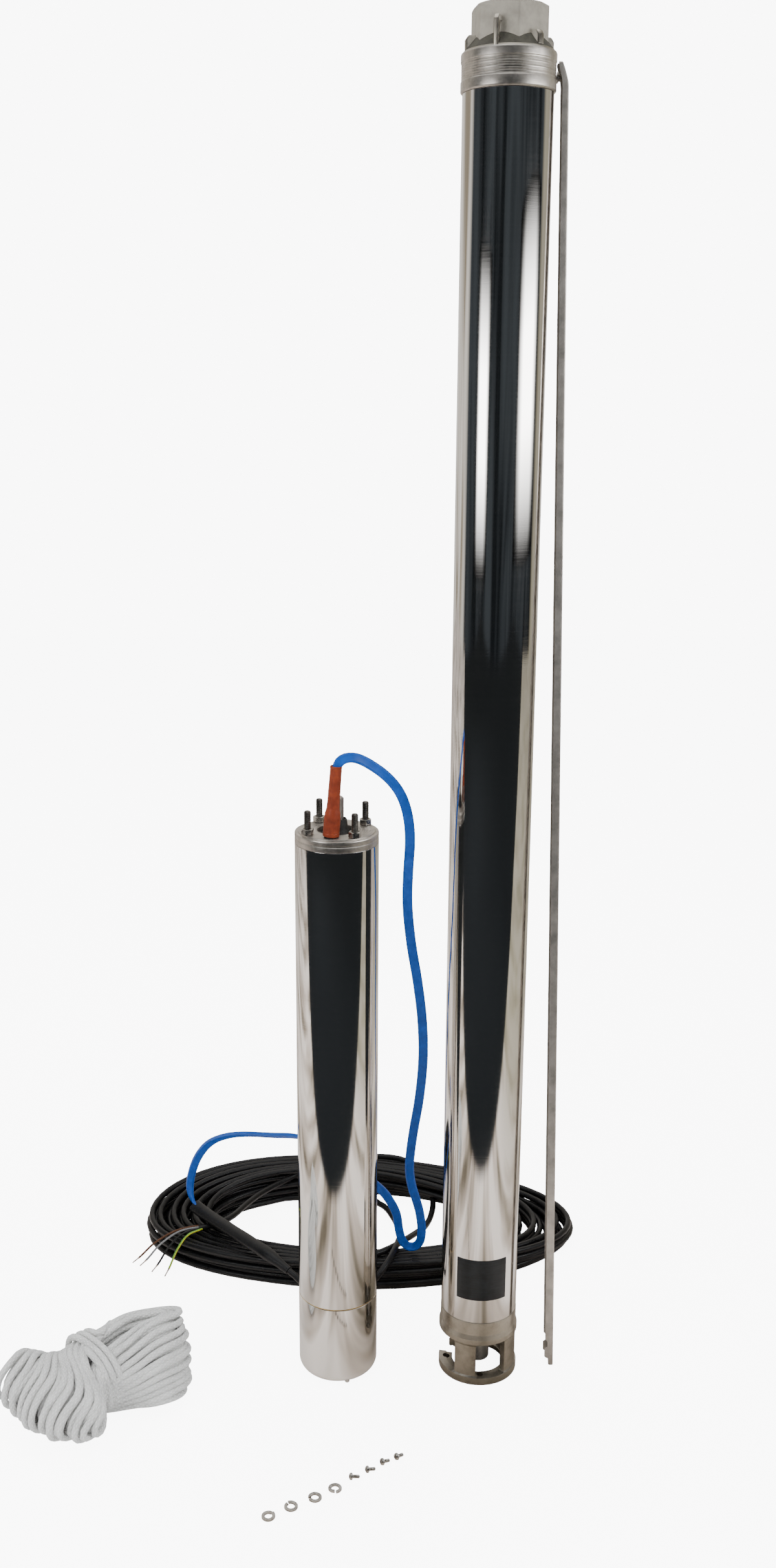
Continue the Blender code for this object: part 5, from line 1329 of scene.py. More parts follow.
class PUMPKIT_OT_head(bpy.types.Operator):
    """Discharge head: ring, hexagonal neck, ribs, rope eyes and threaded outlet."""

    bl_idname = "pumpkit.head"
    bl_label = "Discharge head"

    def execute(self, context):
        sizes = context.scene.pump_kit_sizes
        colours = context.scene.pump_kit_finishes
        cast = cast_steel(tuple(colours.cast))
        turned = turned_steel(tuple(colours.plain))
        axis = Matrix.Translation(PUMP_AXIS)
        body = lathe("head_casting", rounded([
            (0, RING_TOP + 0.015, 0), (NECK_FLAT - 0.002, RING_TOP + 0.015, 0.001),
            (0.0448, RING_TOP + 0.0014, 0.004), (0.0462, RING_TOP - 0.0020, 0.0004),
            (0.0462, RING_BOTTOM + 0.0030, 0.0004), (SPIGOT_RADIUS, RING_BOTTOM + 0.0030, 0.0002),
            (SPIGOT_RADIUS, SPIGOT_BOTTOM, 0.0006), (0, SPIGOT_BOTTOM, 0),
        ], False), finish=cast, matrix=axis)
        tools = []
        corner = NECK_FLAT / math.cos(math.pi / 6)
        outline = polygon(corner, 6, math.radians(NECK_AZIMUTH - 90))
        low = RING_TOP - 0.001
        neck = prism("neck_blank", outline, PUMP_TOP - low, axis @ Matrix.Translation((0, 0, (PUMP_TOP + low) / 2)),
                     0.0016, 3)
        crown = lathe("neck_crown", [
            (0, PUMP_TOP + 0.0005), (NECK_FLAT - 0.0012, PUMP_TOP + 0.0005), (corner + 0.003, PUMP_TOP - 0.0046),
            (corner + 0.003, low - 0.004), (0, low - 0.004)], matrix=axis)
        combine(neck, [crown], "INTERSECT")
        tools += [neck]
        root = NECK_FLAT - 0.003
        for i in range(6):
            azimuth = NECK_AZIMUTH - 30 + 60 * i
            if i % 3 == 0:
                top = RING_TOP + 0.027
                plate = prism(f"eye_{i}", [
                    (root, RING_TOP - 0.003), (0.0462, RING_TOP - 0.003), (0.0465, top - 0.004),
                    (0.0435, top), (root, top)], 0.005, axis @ outwards(azimuth), 0.0009)
                hole = prism(f"eye_hole_{i}", rounded([
                    (0.0335, top - 0.019, 0), (0.0415, top - 0.019, 0.002), (0.0415, top - 0.005, 0.0025),
                    (0.0335, top - 0.005, 0)]), 0.02, axis @ outwards(azimuth))
                combine(plate, [hole], "DIFFERENCE")
                tools += [plate, hole]
            else:
                rib = prism(f"rib_{i}", [
                    (root, RING_TOP - 0.003), (0.0443, RING_TOP - 0.003), (0.0445, RING_TOP + 0.0105),
                    (0.0415, RING_TOP + 0.0150), (root, RING_TOP + 0.0152)], 0.008, axis @ outwards(azimuth), 0.0013)
                tools.append(rib)
        combine(body, [tool for tool in tools if not tool.name.startswith("eye_hole")], "UNION")
        bore = lathe("bore_cut", [
            (0, PUMP_TOP + 0.01), (OUTLET_RADIUS + 0.0045, PUMP_TOP + 0.0022), (OUTLET_RADIUS - 0.0008, PUMP_TOP - 0.003),
            (OUTLET_RADIUS - 0.0008, OUTLET_BOTTOM), (CHAMBER_RADIUS, OUTLET_BOTTOM - 0.005),
            (CHAMBER_RADIUS, SPIGOT_BOTTOM - 0.01), (0, SPIGOT_BOTTOM - 0.01)], matrix=axis)
        thread = threaded("outlet_thread", OUTLET_RADIUS + 0.0005, sizes.outlet_pitch, 0.0014, OUTLET_BOTTOM + 0.004,
                          PUMP_TOP + 0.003, 72, 0.0, matrix=axis)
        screw_hole = lathe("screw_hole", [(0, 0.012), (0.0022, 0.012), (0.0022, -0.0095), (0, -0.0095)], 24,
                           matrix=Matrix.Translation((PUMP_AXIS.x + RING_RADIUS, PUMP_AXIS.y, GUARD_SCREW_LEVEL))
                           @ Matrix.Rotation(math.pi / 2, 4, "Y"))
        combine(body, [bore, thread, screw_hole], "DIFFERENCE")
        settled(body, tools + [crown, bore, thread, screw_hole])
        body.data.materials.append(painted_shade_casting(tuple(colours.cast)))
        body.data.materials.append(blasted_steel(tuple(colours.cast)))
        for face in body.data.polygons:
            height = face.center.z - RING_TOP
            if height > 0.0020 and 0.0300 < face.center.xy.length < 0.0402:
                face.material_index = 2
            # Upward faces of the shoulder slope between the ribs take slot 1, the near-black casting: painted shade
            # for the pocket under the neck.
            slope = 0.0448 - (height - 0.0014) * 0.90
            if 0.0005 < height < 0.0152 and abs(face.center.xy.length - slope) < 0.0012 and face.normal.z > 0.4:
                face.material_index = 1

        band = [(0.0460, RING_TOP - 0.0008, 0.0), (0.0470, RING_TOP - 0.0008, 0.0005), (RING_RADIUS, RING_TOP - 0.0022, 0.0004)]
        level = RING_TOP - 0.0095
        band += [(RING_RADIUS, level + 0.0006, 0.0003), (RING_RADIUS - 0.0006, level, 0.0003)]
        for i in range(7):
            band += [(RING_RADIUS - 0.0006, level - 0.0011 - i * 0.0023, 0.0002),
                     (RING_RADIUS - 0.0010, level - 0.0015 - i * 0.0023, 0.0002),
                     (RING_RADIUS - 0.0010, level - 0.0019 - i * 0.0023, 0.0002),
                     (RING_RADIUS - 0.0006, level - 0.0023 - i * 0.0023, 0.0002)]
        foot = level - 7 * 0.0023
        band += [(RING_RADIUS - 0.0006, foot - 0.0006, 0.0002), (RING_RADIUS, foot - 0.0014, 0.0003),
                 (RING_RADIUS, RING_BOTTOM + 0.0014, 0.0005), (RING_RADIUS - 0.0013, RING_BOTTOM, 0.0004),
                 (0.0430, RING_BOTTOM, 0.0), (0.0430, RING_TOP - 0.0030, 0.0)]
        ring = lathe("head_band", rounded(band, True, 2), 128, finish=turned, matrix=axis)
        hub = [lathe("guide_hub", ring_profile(0.0075, 0.0041, 1.477, 1.485), 40, finish=cast, matrix=axis)]
        for i in range(3):
            rib = prism(f"guide_rib_{i}", [(0.0060, 1.479), (CHAMBER_RADIUS + 0.001, 1.479),
                                           (CHAMBER_RADIUS + 0.001, 1.484), (0.0060, 1.484)],
                        0.004, axis @ outwards(NECK_AZIMUTH + 4 + 120 * i), 0.0008, finish=cast)
            hub.append(settled(rib))
        head = joined("head_body", [body, ring] + hub)
        keep(head, "kit", "discharge_head", slot="cast_stainless")
        return {"FINISHED"}


class PUMPKIT_OT_valve(bpy.types.Operator):
    """Check valve: poppet, spring and the finish of its seat."""

    bl_idname = "pumpkit.valve"
    bl_label = "Check valve"

    def execute(self, context):
        colours = context.scene.pump_kit_finishes
        dress("valve_seat", valve_brass())
        axis = Matrix.Translation(PUMP_AXIS)
        low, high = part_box("valve_spring")
        wire = 0.0014
        wound = (high.x - low.x - wire) / 2
        steps = 4 * 32
        coil = []
        for i in range(steps + 1):
            turn = 2 * math.pi * i / 32
            closed = min(1.0, max(0.0, (i / steps - 0.10) / 0.80))
            height = low.z + wire / 2 + (high.z - low.z - wire) * (0.04 * i / steps + 0.96 * closed)
            coil.append(PUMP_AXIS + Vector((wound * math.cos(turn), wound * math.sin(turn), height)))
        spring = sweep("spring_coil", coil, round_section(wire, 12), [plain_steel(tuple(colours.plain))])
        keep(spring, "kit", "valve_spring", slot="plain_stainless")
        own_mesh(spring)
        poppet = lathe("poppet_disc", rounded([
            (0, 1.4855, 0), (0.0030, 1.4855, 0.0002), (0.0035, 1.4850, 0.0002), (0.0035, 1.4403, 0.0012),
            (0.0055, 1.4383, 0.0006), (0.0270, 1.4383, 0.0005), (0.0280, 1.4373, 0.0004),
            (0.0280, 1.4334, 0.0003), (0, 1.4334, 0)], False), 72,
            finish=turned_steel(tuple(colours.plain)), matrix=axis)
        keep(poppet, "check_valve", "valve_poppet", slot="cast_stainless")
        return {"FINISHED"}


class PUMPKIT_OT_sleeve(bpy.types.Operator):
    """Polished pump sleeve with its bare plate."""

    bl_idname = "pumpkit.sleeve"
    bl_label = "Sleeve and plate"

    def execute(self, context):
        colours = context.scene.pump_kit_finishes
        axis = Matrix.Translation(PUMP_AXIS)
        sleeve = lathe("sleeve_tube", rounded([
            (SLEEVE_RADIUS, RING_BOTTOM - 0.0003, 0.0003), (SLEEVE_RADIUS, BRACKET_TOP + 0.0003, 0.0003),
            (SLEEVE_BORE, BRACKET_TOP + 0.0003, 0.0002), (SLEEVE_BORE, RING_BOTTOM - 0.0003, 0.0002)]),
            160, finish=polished_steel(tuple(colours.polished)), matrix=axis)
        keep(sleeve, "kit", "pump_sleeve", slot="mirror_stainless")

        columns = 48
        rows = 12
        inner = SLEEVE_RADIUS + 0.0002
        outer = SLEEVE_RADIUS + 0.0007
        verts = []
        for radius in (inner, outer):
            for i in range(rows + 1):
                for j in range(columns + 1):
                    across = j / columns
                    up = i / rows
                    rim = min(across, 1 - across, up, 1 - up)
                    level = radius - (0.0003 if rim < 1e-6 and radius == outer else 0.0)
                    if radius == outer and 0.0 < rim * 24 < 1.7:
                        level -= 0.0001
                    azimuth = PLATE_AZIMUTHS[0] + (PLATE_AZIMUTHS[1] - PLATE_AZIMUTHS[0]) * across
                    verts.append(PUMP_AXIS + around(level, azimuth, PLATE_BOTTOM + (PLATE_TOP - PLATE_BOTTOM) * up))
        step = columns + 1
        layer = step * (rows + 1)
        faces = []
        for side in (0, layer):
            for i in range(rows):
                for j in range(columns):
                    a = side + i * step + j
                    faces.append((a, a + 1, a + step + 1, a + step))
        rim = [j for j in range(columns)] + [i * step + columns for i in range(rows)]
        rim += [rows * step + j for j in range(columns, 0, -1)] + [i * step for i in range(rows, 0, -1)]
        for a, b in zip(rim, rim[1:] + rim[:1]):
            faces.append((a, b, b + layer, a + layer))
        plate = piece("plate_skin", new_mesh("plate_skin", verts, faces), bare_plate(tuple(colours.plate)))
        keep(plate, "kit", "nameplate", slot="plate_black")
        return {"FINISHED"}


class PUMPKIT_OT_bracket(bpy.types.Operator):
    """Suction bracket with its inlet windows, and the coupling that shows through them."""

    bl_idname = "pumpkit.bracket"
    bl_label = "Suction bracket"

    def execute(self, context):
        colours = context.scene.pump_kit_finishes
        axis = Matrix.Translation(PUMP_AXIS)
        radius = 0.0475
        leg = 0.0460
        bracket = lathe("bracket_casting", rounded([
            (SPIGOT_RADIUS, 0.104, 0.0005), (SPIGOT_RADIUS, BRACKET_TOP, 0.0002), (0.0458, BRACKET_TOP, 0.0005),
            (0.0458, 0.0672, 0.0030), (radius, 0.0612, 0.0016), (radius, WINDOW_TOP, 0.0010),
            (leg, WINDOW_TOP - 0.003, 0.0012), (leg, BASE_FLANGE + 0.0022, 0.0012), (radius, BASE_FLANGE, 0.0009),
            (radius, 0.0, 0.0009), (0.04405, 0.0, 0.0003), (0.04405, 0.002, 0.0002), (0.031, 0.002, 0.0006),
            (0.031, BASE_FLANGE - 0.001, 0.0006), (0.0385, BASE_FLANGE - 0.001, 0.0010), (0.0385, 0.056, 0.0020),
            (0.034, 0.078, 0.0010), (0.034, 0.104, 0.0005)]), 144,
            finish=cast_steel(tuple(colours.cast)), matrix=axis)
        tools = []
        for i, (start, end) in enumerate(WINDOWS):
            steps = 16
            arc = [around(0.0595, start + (end - start) * j / steps).xy for j in range(steps + 1)]
            back = [around(0.0260, end - (end - start) * j / 4).xy for j in range(5)]
            height = WINDOW_TOP - BASE_FLANGE - 0.0004
            window = prism(f"window_{i}", [tuple(p) for p in arc + back], height,
                           axis @ Matrix.Translation((0, 0, (WINDOW_TOP + BASE_FLANGE) / 2)), 0.0032, 4)
            tools.append(window)
        start, end = FLANGE_NOTCH
        arc = [around(0.0595, start + (end - start) * j / 6).xy for j in range(7)]
        back = [around(0.0260, end - (end - start) * j / 3).xy for j in range(4)]
        tools.append(prism("flange_notch", [tuple(p) for p in arc + back], BASE_FLANGE + 0.004,
                           axis @ Matrix.Translation((0, 0, BASE_FLANGE / 2)), 0.0008))
        for i in range(4):
            spot = axis @ Matrix.Translation(around(STUD_CIRCLE, 90 * i))
            tools.append(lathe(f"stud_hole_{i}", [(0, 0.02), (0.00435, 0.02), (0.00435, -0.01), (0, -0.01)],
                               SMALL_SIDES, matrix=spot))
        combine(bracket, tools, "DIFFERENCE")
        settled(bracket, tools)
        keep(bracket, "kit", "suction_bracket", slot="cast_stainless")

        coupling = lathe("coupling_barrel", rounded([
            (0.0140, 0.056, 0.0012), (0.0140, 0.046, 0.0002), (0.0134, 0.0455, 0.0002), (0.0134, 0.0435, 0.0002),
            (0.0140, 0.043, 0.0002), (0.0140, 0.011, 0.0012), (0.0085, 0.011, 0.0010), (0.0085, 0.056, 0.0003)]),
            72, finish=plain_steel(tuple(colours.plain)), matrix=axis)
        keep(coupling, "pump_rotor", "shaft_coupling", slot="plain_stainless")
        return {"FINISHED"}


class PUMPKIT_OT_pump_inside(bpy.types.Operator):
    """Finishes of the shaft, stages and upper bearing inside the sleeve."""

    bl_idname = "pumpkit.pump_inside"
    bl_label = "Inside of the pump"

    def execute(self, context):
        colours = context.scene.pump_kit_finishes
        dress("pump_shaft", plain_steel(tuple(colours.plain)))
        dress("impeller_stack", stage_plastic())
        dress("diffuser_stack", stage_plastic())
        dress("top_bearing_carrier", cast_steel(tuple(colours.cast)))
        dress("top_bearing_bush", seal_rubber())
        return {"FINISHED"}


# Motor

class PUMPKIT_OT_motor_barrel(bpy.types.Operator):
    """Polished motor shell, drawn cup, the seam between them and the filling plug."""

    bl_idname = "pumpkit.motor_barrel"
    bl_label = "Motor barrel"

    def execute(self, context):
        colours = context.scene.pump_kit_finishes
        polished = polished_steel(tuple(colours.polished))
        axis = Matrix.Translation(MOTOR_AXIS)
        shell = lathe("motor_tube", rounded([
            (MOTOR_RADIUS, BAND_LEVEL - 0.0003, 0.0004), (MOTOR_RADIUS, CUP_TOP + 0.0004, 0.0006),
            (0.0460, CUP_TOP + 0.0004, 0.0002), (0.0460, BAND_LEVEL - 0.0003, 0.0002)]), 160,
            finish=polished, matrix=axis)
        keep(shell, "kit", "motor_shell", slot="mirror_stainless")

        outer = []
        inner = []
        steps = 14
        for i in range(steps + 1):
            turn = math.pi / 2 * i / steps
            centre = MOTOR_RADIUS - CUP_CORNER
            outer.append((centre + CUP_CORNER * math.cos(turn), CUP_CORNER - CUP_CORNER * math.sin(turn)))
            inside = CUP_CORNER - 0.0015
            inner.append((centre + inside * math.cos(turn), CUP_CORNER - inside * math.sin(turn)))
        lip = [(MOTOR_RADIUS - 0.0006, CUP_TOP), (MOTOR_RADIUS - 0.0001, CUP_TOP - 0.0006), (MOTOR_RADIUS, CUP_TOP - 0.0014)]
        cup = lathe("cup_shell", lip + outer + [(0, 0), (0, 0.0015)] + inner[::-1] + [(0.0460, CUP_TOP)], 160,
                    finish=polished, matrix=axis)
        spot = axis @ Matrix.Translation(around(0.041, 16.0))
        hole = lathe("plug_hole", [(0, 0.013), (0.0033, 0.013), (0.0033, -0.01), (0, -0.01)], SMALL_SIDES, matrix=spot)
        combine(cup, [hole], "DIFFERENCE")
        settled(cup, [hole])
        keep(cup, "kit", "diaphragm_cover", slot="mirror_stainless")

        seam = lathe("seam_ring", rounded([
            (0.04752, CUP_TOP + 0.0002, 0.0001), (0.0473, CUP_TOP + 0.0009, 0.0001), (0.0465, CUP_TOP + 0.0009, 0.0),
            (0.0465, CUP_TOP - 0.0006, 0.0), (0.0473, CUP_TOP - 0.0006, 0.0001)]), 160,
            finish=valve_brass(), matrix=axis)
        keep(seam, "kit")

        plug = lathe("plug_body", rounded([
            (0, 0.008, 0), (0.0030, 0.008, 0.0004), (0.0030, 0.0008, 0.0004), (0.0026, 0.0003, 0.0002),
            (0.0013, 0.0003, 0.0001), (0.0013, 0.0016, 0.0), (0, 0.0016, 0)], False), 40,
            finish=plain_steel(tuple(colours.plain)), matrix=spot)
        keep(plug, "kit", "vent_plug", slot="plain_stainless")
        return {"FINISHED"}


class PUMPKIT_OT_flange(bpy.types.Operator):
    """Motor's top flange, its four threaded studs and their nuts."""

    bl_idname = "pumpkit.flange"
    bl_label = "Flange, studs and nuts"

    def execute(self, context):
        sizes = context.scene.pump_kit_sizes
        colours = context.scene.pump_kit_finishes
        turned = turned_steel(tuple(colours.plain))
        axis = Matrix.Translation(MOTOR_AXIS)
        groove = []
        for i in range(5):
            at = 0.040 - i * 0.0032
            groove += [(at + 0.0005, FACE_LEVEL), (at, FACE_LEVEL - 0.0002), (at - 0.0005, FACE_LEVEL)]
        profile = rounded([
            (0.0432, FACE_LEVEL, 0.0003), (0.04365, FACE_LEVEL - 0.0006, 0.0003), (0.04365, RIM_LEVEL, 0.0002),
            (MOTOR_RADIUS - 0.0004, RIM_LEVEL, 0.0004), (MOTOR_RADIUS, RIM_LEVEL - 0.0010, 0.0004),
            (MOTOR_RADIUS, 0.6800, 0.0003), (MOTOR_RADIUS - 0.0007, 0.6793, 0.0003),
            (MOTOR_RADIUS - 0.0007, 0.6780, 0.0003), (MOTOR_RADIUS, 0.6773, 0.0003),
            (MOTOR_RADIUS, BAND_LEVEL, 0.0006), (0.0457, BAND_LEVEL, 0.0), (0.0457, 0.6399, 0.0008),
            (0.0137, 0.6399, 0.0), (0.0137, 0.6680, 0.0), (0.0157, 0.6680, 0.0), (0.0157, 0.6760, 0.0),
            (0.0220, 0.6760, 0.0006), (0.0220, FACE_LEVEL, 0.0005)])
        flange = lathe("flange_casting", profile + groove[::-1], 144, finish=turned, matrix=axis)
        tools = []
        for i in range(4):
            spot = axis @ Matrix.Translation(around(STUD_CIRCLE, STUD_AZIMUTH + 90 * i))
            tools.append(lathe(f"stud_bore_{i}", [(0, 0.70), (0.0052, 0.6868), (0.0043, 0.6855),
                                                  (0.0043, 0.6677), (0, 0.6677)], SMALL_SIDES, matrix=spot))
        spot = axis @ Matrix.Translation(around(GLAND_RADIUS, GLAND_AZIMUTH))
        tools.append(lathe("gland_bore", [(0, 0.70), (0.0078, 0.70), (0.0078, 0.62), (0, 0.62)], 48, matrix=spot))
        combine(flange, tools, "DIFFERENCE")
        settled(flange, tools)
        keep(flange, "kit", "motor_top_flange", slot="cast_stainless")

        steel = stud_steel(tuple(colours.plain))
        bright = fastener_steel()
        corner = 0.0127 / 2 / math.cos(math.pi / 6)
        for i in range(4):
            spot = axis @ Matrix.Translation(around(STUD_CIRCLE, STUD_AZIMUTH + 90 * i))
            stud = threaded(f"stud_rod_{i + 1}", STUD_RADIUS, sizes.stud_pitch, 0.0006, 0.6681, 0.713,
                            SMALL_SIDES, 0.0009, steel, spot)
            keep(stud, "kit", f"motor_stud_{i + 1}", slot="plain_stainless")
            turn = Matrix.Rotation(math.radians(11 + 23 * i), 4, "Z")
            nut = prism(f"nut_hex_{i + 1}", polygon(corner, 6), 0.0065,
                        spot @ Matrix.Translation((0, 0, 0.6863 + 0.00325)) @ turn, 0.0003, 2, bright)
            crown = lathe("nut_crown", [
                (0, 0.6863 - 0.001), (corner - 0.0022, 0.6863 - 0.0006), (corner + 0.0004, 0.6863 + 0.0009),
                (corner + 0.0004, 0.6928 - 0.0009), (corner - 0.0022, 0.6928 + 0.0006), (0, 0.6928 + 0.001)],
                48, matrix=spot)
            bore = lathe("nut_bore", [(0, 0.70), (0.0062, 0.6945), (0.0042, 0.6918), (0.0042, 0.6874),
                                      (0.0062, 0.6847), (0, 0.68)], 48, matrix=spot)
            combine(nut, [crown], "INTERSECT")
            combine(nut, [bore], "DIFFERENCE")
            settled(nut, [crown, bore])
            keep(nut, "kit", f"motor_nut_{i + 1}", slot="plain_stainless")
        return {"FINISHED"}


class PUMPKIT_OT_motor_shaft(bpy.types.Operator):
    """Motor shaft with its splined end and the sand slinger."""

    bl_idname = "pumpkit.motor_shaft"
    bl_label = "Motor shaft"

    def execute(self, context):
        sizes = context.scene.pump_kit_sizes
        colours = context.scene.pump_kit_finishes
        steel = plain_steel(tuple(colours.plain))
        axis = Matrix.Translation(MOTOR_AXIS)
        low, high = frame_heights("motor_shaft")
        rod = lathe("shaft_bar", rounded([
            (0, 0.687, 0), (0.0082, 0.687, 0.0006), (0.0090, 0.6862, 0.0003), (0.0090, low, 0.0008), (0, low, 0)],
            False), 64, finish=steel, matrix=axis)
        teeth = []
        shape = ((-0.34, 0.0067), (-0.26, 0.0067), (-0.15, 0.0078), (-0.08, 0.0079), (0.08, 0.0079), (0.15, 0.0078),
                 (0.26, 0.0067), (0.34, 0.0067))
        for i in range(sizes.spline_teeth):
            for share, radius in shape:
                turn = 2 * math.pi * (i + share) / sizes.spline_teeth
                teeth.append((radius * math.cos(turn), radius * math.sin(turn)))
        spline = prism("spline_teeth", teeth, high - 0.6845, axis @ Matrix.Translation((0, 0, (high + 0.6845) / 2)),
                       finish=steel)
        tip = lathe("spline_cone", [(0, high + 0.001), (0.0055, high + 0.001), (0.0089, high - 0.0026),
                                    (0.0089, 0.684), (0, 0.684)], 48, matrix=axis)
        centre = lathe("centre_mark", [(0, high + 0.001), (0.0022, high + 0.001), (0, high - 0.0022)], 24, matrix=axis)
        combine(spline, [tip], "INTERSECT")
        combine(spline, [centre], "DIFFERENCE")
        settled(spline, [tip, centre])
        shaft = joined("motor_shaft_bar", [rod, spline])
        keep(shaft, "motor_rotor", "motor_shaft", slot="plain_stainless")

        slinger = lathe("slinger_cap", rounded([
            (0.0185, 0.6815, 0.0006), (0.0195, 0.6805, 0.0005), (0.0195, 0.6766, 0.0004), (0.0180, 0.6766, 0.0003),
            (0.0175, 0.6793, 0.0006), (0.0094, 0.6795, 0.0), (0.0094, 0.6990, 0.0004), (0.0112, 0.6990, 0.0008),
            (0.0128, 0.6880, 0.0020), (0.0150, 0.6825, 0.0020)]), 72, finish=seal_rubber(), matrix=axis)
        keep(slinger, "motor_rotor", "sand_slinger", slot="seal_rubber")
        return {"FINISHED"}


class PUMPKIT_OT_boot(bpy.types.Operator):
    """Rust red boot over the lead where it leaves the motor."""

    bl_idname = "pumpkit.boot"
    bl_label = "Lead boot"

    def execute(self, context):
        colours = context.scene.pump_kit_finishes
        dress("lead_gland", seal_rubber())
        outside = [
            (0.00925, 0.0006, 0.0005), (0.00935, 0.0040, 0.0006), (0.00900, 0.0048, 0.0004), (0.00925, 0.0060, 0.0005),
            (0.00920, 0.0205, 0.0030), (0.00860, 0.0265, 0.0040), (0.00730, 0.0325, 0.0040), (0.00690, 0.0400, 0.0060),
            (0.00640, 0.0770, 0.0010), (0.00665, 0.0785, 0.0006), (0.00650, 0.0800, 0.0005),
        ]
        inside = [(0.00540, 0.0800, 0.0004), (0.00515, 0.0770, 0.0010), (0.00515, 0.0680, 0.0), (0, 0.0680, 0),
                  (0, 0.0062, 0), (0.0080, 0.0062, 0.0), (0.0080, 0.0006, 0.0)]
        boot = lathe("boot_rubber_tube", rounded(outside + inside), 64, finish=boot_rubber(tuple(colours.boot)),
                     matrix=boot_frame())
        keep(boot, "kit", "lead_boot", slot="boot_orange")
        return {"FINISHED"}


class PUMPKIT_OT_motor_inside(bpy.types.Operator):
    """Finishes of the windings, rotor, bearings and diaphragm inside the motor."""

    bl_idname = "pumpkit.motor_inside"
    bl_label = "Inside of the motor"

    def execute(self, context):
        colours = context.scene.pump_kit_finishes
        for node in ("stator_core", "rotor_core"):
            dress(node, lacquered_iron())
        for node in ("upper_windings", "lower_windings"):
            dress(node, winding_copper())
        for node in ("upper_bearing", "lower_bearing", "thrust_bearing"):
            dress(node, bearing_carbon())
        for node in ("lip_seal", "diaphragm"):
            dress(node, seal_rubber())
        dress("motor_base_bell", cast_steel(tuple(colours.cast)))
        dress("thrust_disc", turned_steel(tuple(colours.plain)))
        return {"FINISHED"}


# Guard and loose parts

def frame_heights(node):
    low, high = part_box(node)
    return low.z, high.z


class PUMPKIT_OT_guard(bpy.types.Operator):
    """Thin channel of the cable guard and the screw that it leans on."""

    bl_idname = "pumpkit.guard"
    bl_label = "Cable guard"

    def execute(self, context):
        colours = context.scene.pump_kit_finishes
        c, s = math.cos(GUARD_TURN), math.sin(GUARD_TURN)
        stand = Matrix.Translation(GUARD_FOOT) @ Matrix(
            (Vector((-c, 0, -s)), Vector((-s, 0, c)), Vector((0, 1, 0)))).transposed().to_4x4()
        straight = GUARD_LENGTH - 0.022
        depths = [(0.0, 0.0044), (0.0020, 0.0062), (0.010, 0.0066), (0.0115, 0.0095), (0.013, 0.0108),
                  (0.024, 0.0108), (0.0262, 0.0076),
                  (0.027, 0.0070), (0.033, 0.0070), (0.0345, 0.0080), (0.037, 0.0100), (0.30, 0.0094), (0.60, 0.0087),
                  (0.90, 0.0080), (1.20, 0.0073), (straight - 0.006, 0.0065), (straight - 0.002, 0.0064),
                  (straight + 0.003, 0.0062), (straight + 0.008, 0.0060), (straight + 0.013, 0.0057),
                  (straight + 0.018, 0.0052), (GUARD_LENGTH - 0.0015, 0.0046), (GUARD_LENGTH, 0.0036)]
        bend_from = straight
        verts = []
        arc = 5
        for level, depth in depths:
            along = max(0.0, level - bend_from)
            shift = 0.0062 * (along / 0.022) ** 1.35
            width = 0.008 - (0.0022 if level > GUARD_LENGTH - 0.001 else 0.0)
            width -= 0.0010 if level < 0.001 else 0.0
            corner = min(0.0016, depth * 0.55)
            wall = 0.0008
            section = [(depth, -width)]
            for i in range(arc + 1):
                turn = math.pi / 2 * i / arc
                section.append((corner - corner * math.sin(turn), -width + corner - corner * math.cos(turn)))
            for i in range(arc + 1):
                turn = math.pi / 2 * i / arc
                section.append((corner - corner * math.cos(turn), width - corner + corner * math.sin(turn)))
            section += [(depth, width), (depth, width - wall)]
            small = max(0.0002, corner - wall)
            hollow = wall + small
            for i in range(arc + 1):
                turn = math.pi / 2 * i / arc
                section.append((min(depth, hollow - small * math.sin(turn)), width - wall - small + small * math.cos(turn)))
            for i in range(arc + 1):
                turn = math.pi / 2 * i / arc
                section.append((min(depth, hollow - small * math.cos(turn)), -width + wall + small - small * math.sin(turn)))
            section.append((depth, -width + wall))
            verts += [Vector((x + shift, level, y)) for x, y in section]
        count = len(section)
        faces = []
        for i in range(len(depths) - 1):
            for j in range(count):
                k = (j + 1) % count
                faces.append((i * count + j, i * count + k, (i + 1) * count + k, (i + 1) * count + j))
        last = (len(depths) - 1) * count
        faces += [tuple(range(count)), tuple(last + j for j in range(count))]
        guard = piece("guard_channel", new_mesh("guard_channel", verts, faces, 30.0),
                      plain_steel(tuple(colours.plain)), stand)
        keep(guard, "kit", "cable_guard", slot="plain_stainless")

        across = Matrix.Translation((PUMP_AXIS.x + RING_RADIUS, PUMP_AXIS.y, GUARD_SCREW_LEVEL))
        across = across @ Matrix.Rotation(math.pi / 2, 4, "Y")
        low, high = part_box("guard_head_screw")
        reach = high.x - PUMP_AXIS.x - RING_RADIUS
        screw = lathe("head_screw_body", rounded([
            (0, reach, 0), (0.0016, reach, 0.0003), (0.0020, reach - 0.0006, 0.0002), (0.0020, 0.0048, 0.0003),
            (0.0037, 0.0047, 0.0006), (0.0040, 0.0015, 0.0002), (0.0055, 0.0015, 0.0003), (0.0055, 0.0003, 0.0002),
            (0.0020, 0.0003, 0.0), (0.0020, -0.006, 0.0003), (0, -0.006, 0)], False), 48,
            finish=fastener_steel(), matrix=across)
        keep(screw, "kit", "guard_head_screw", slot="plain_stainless")
        return {"FINISHED"}


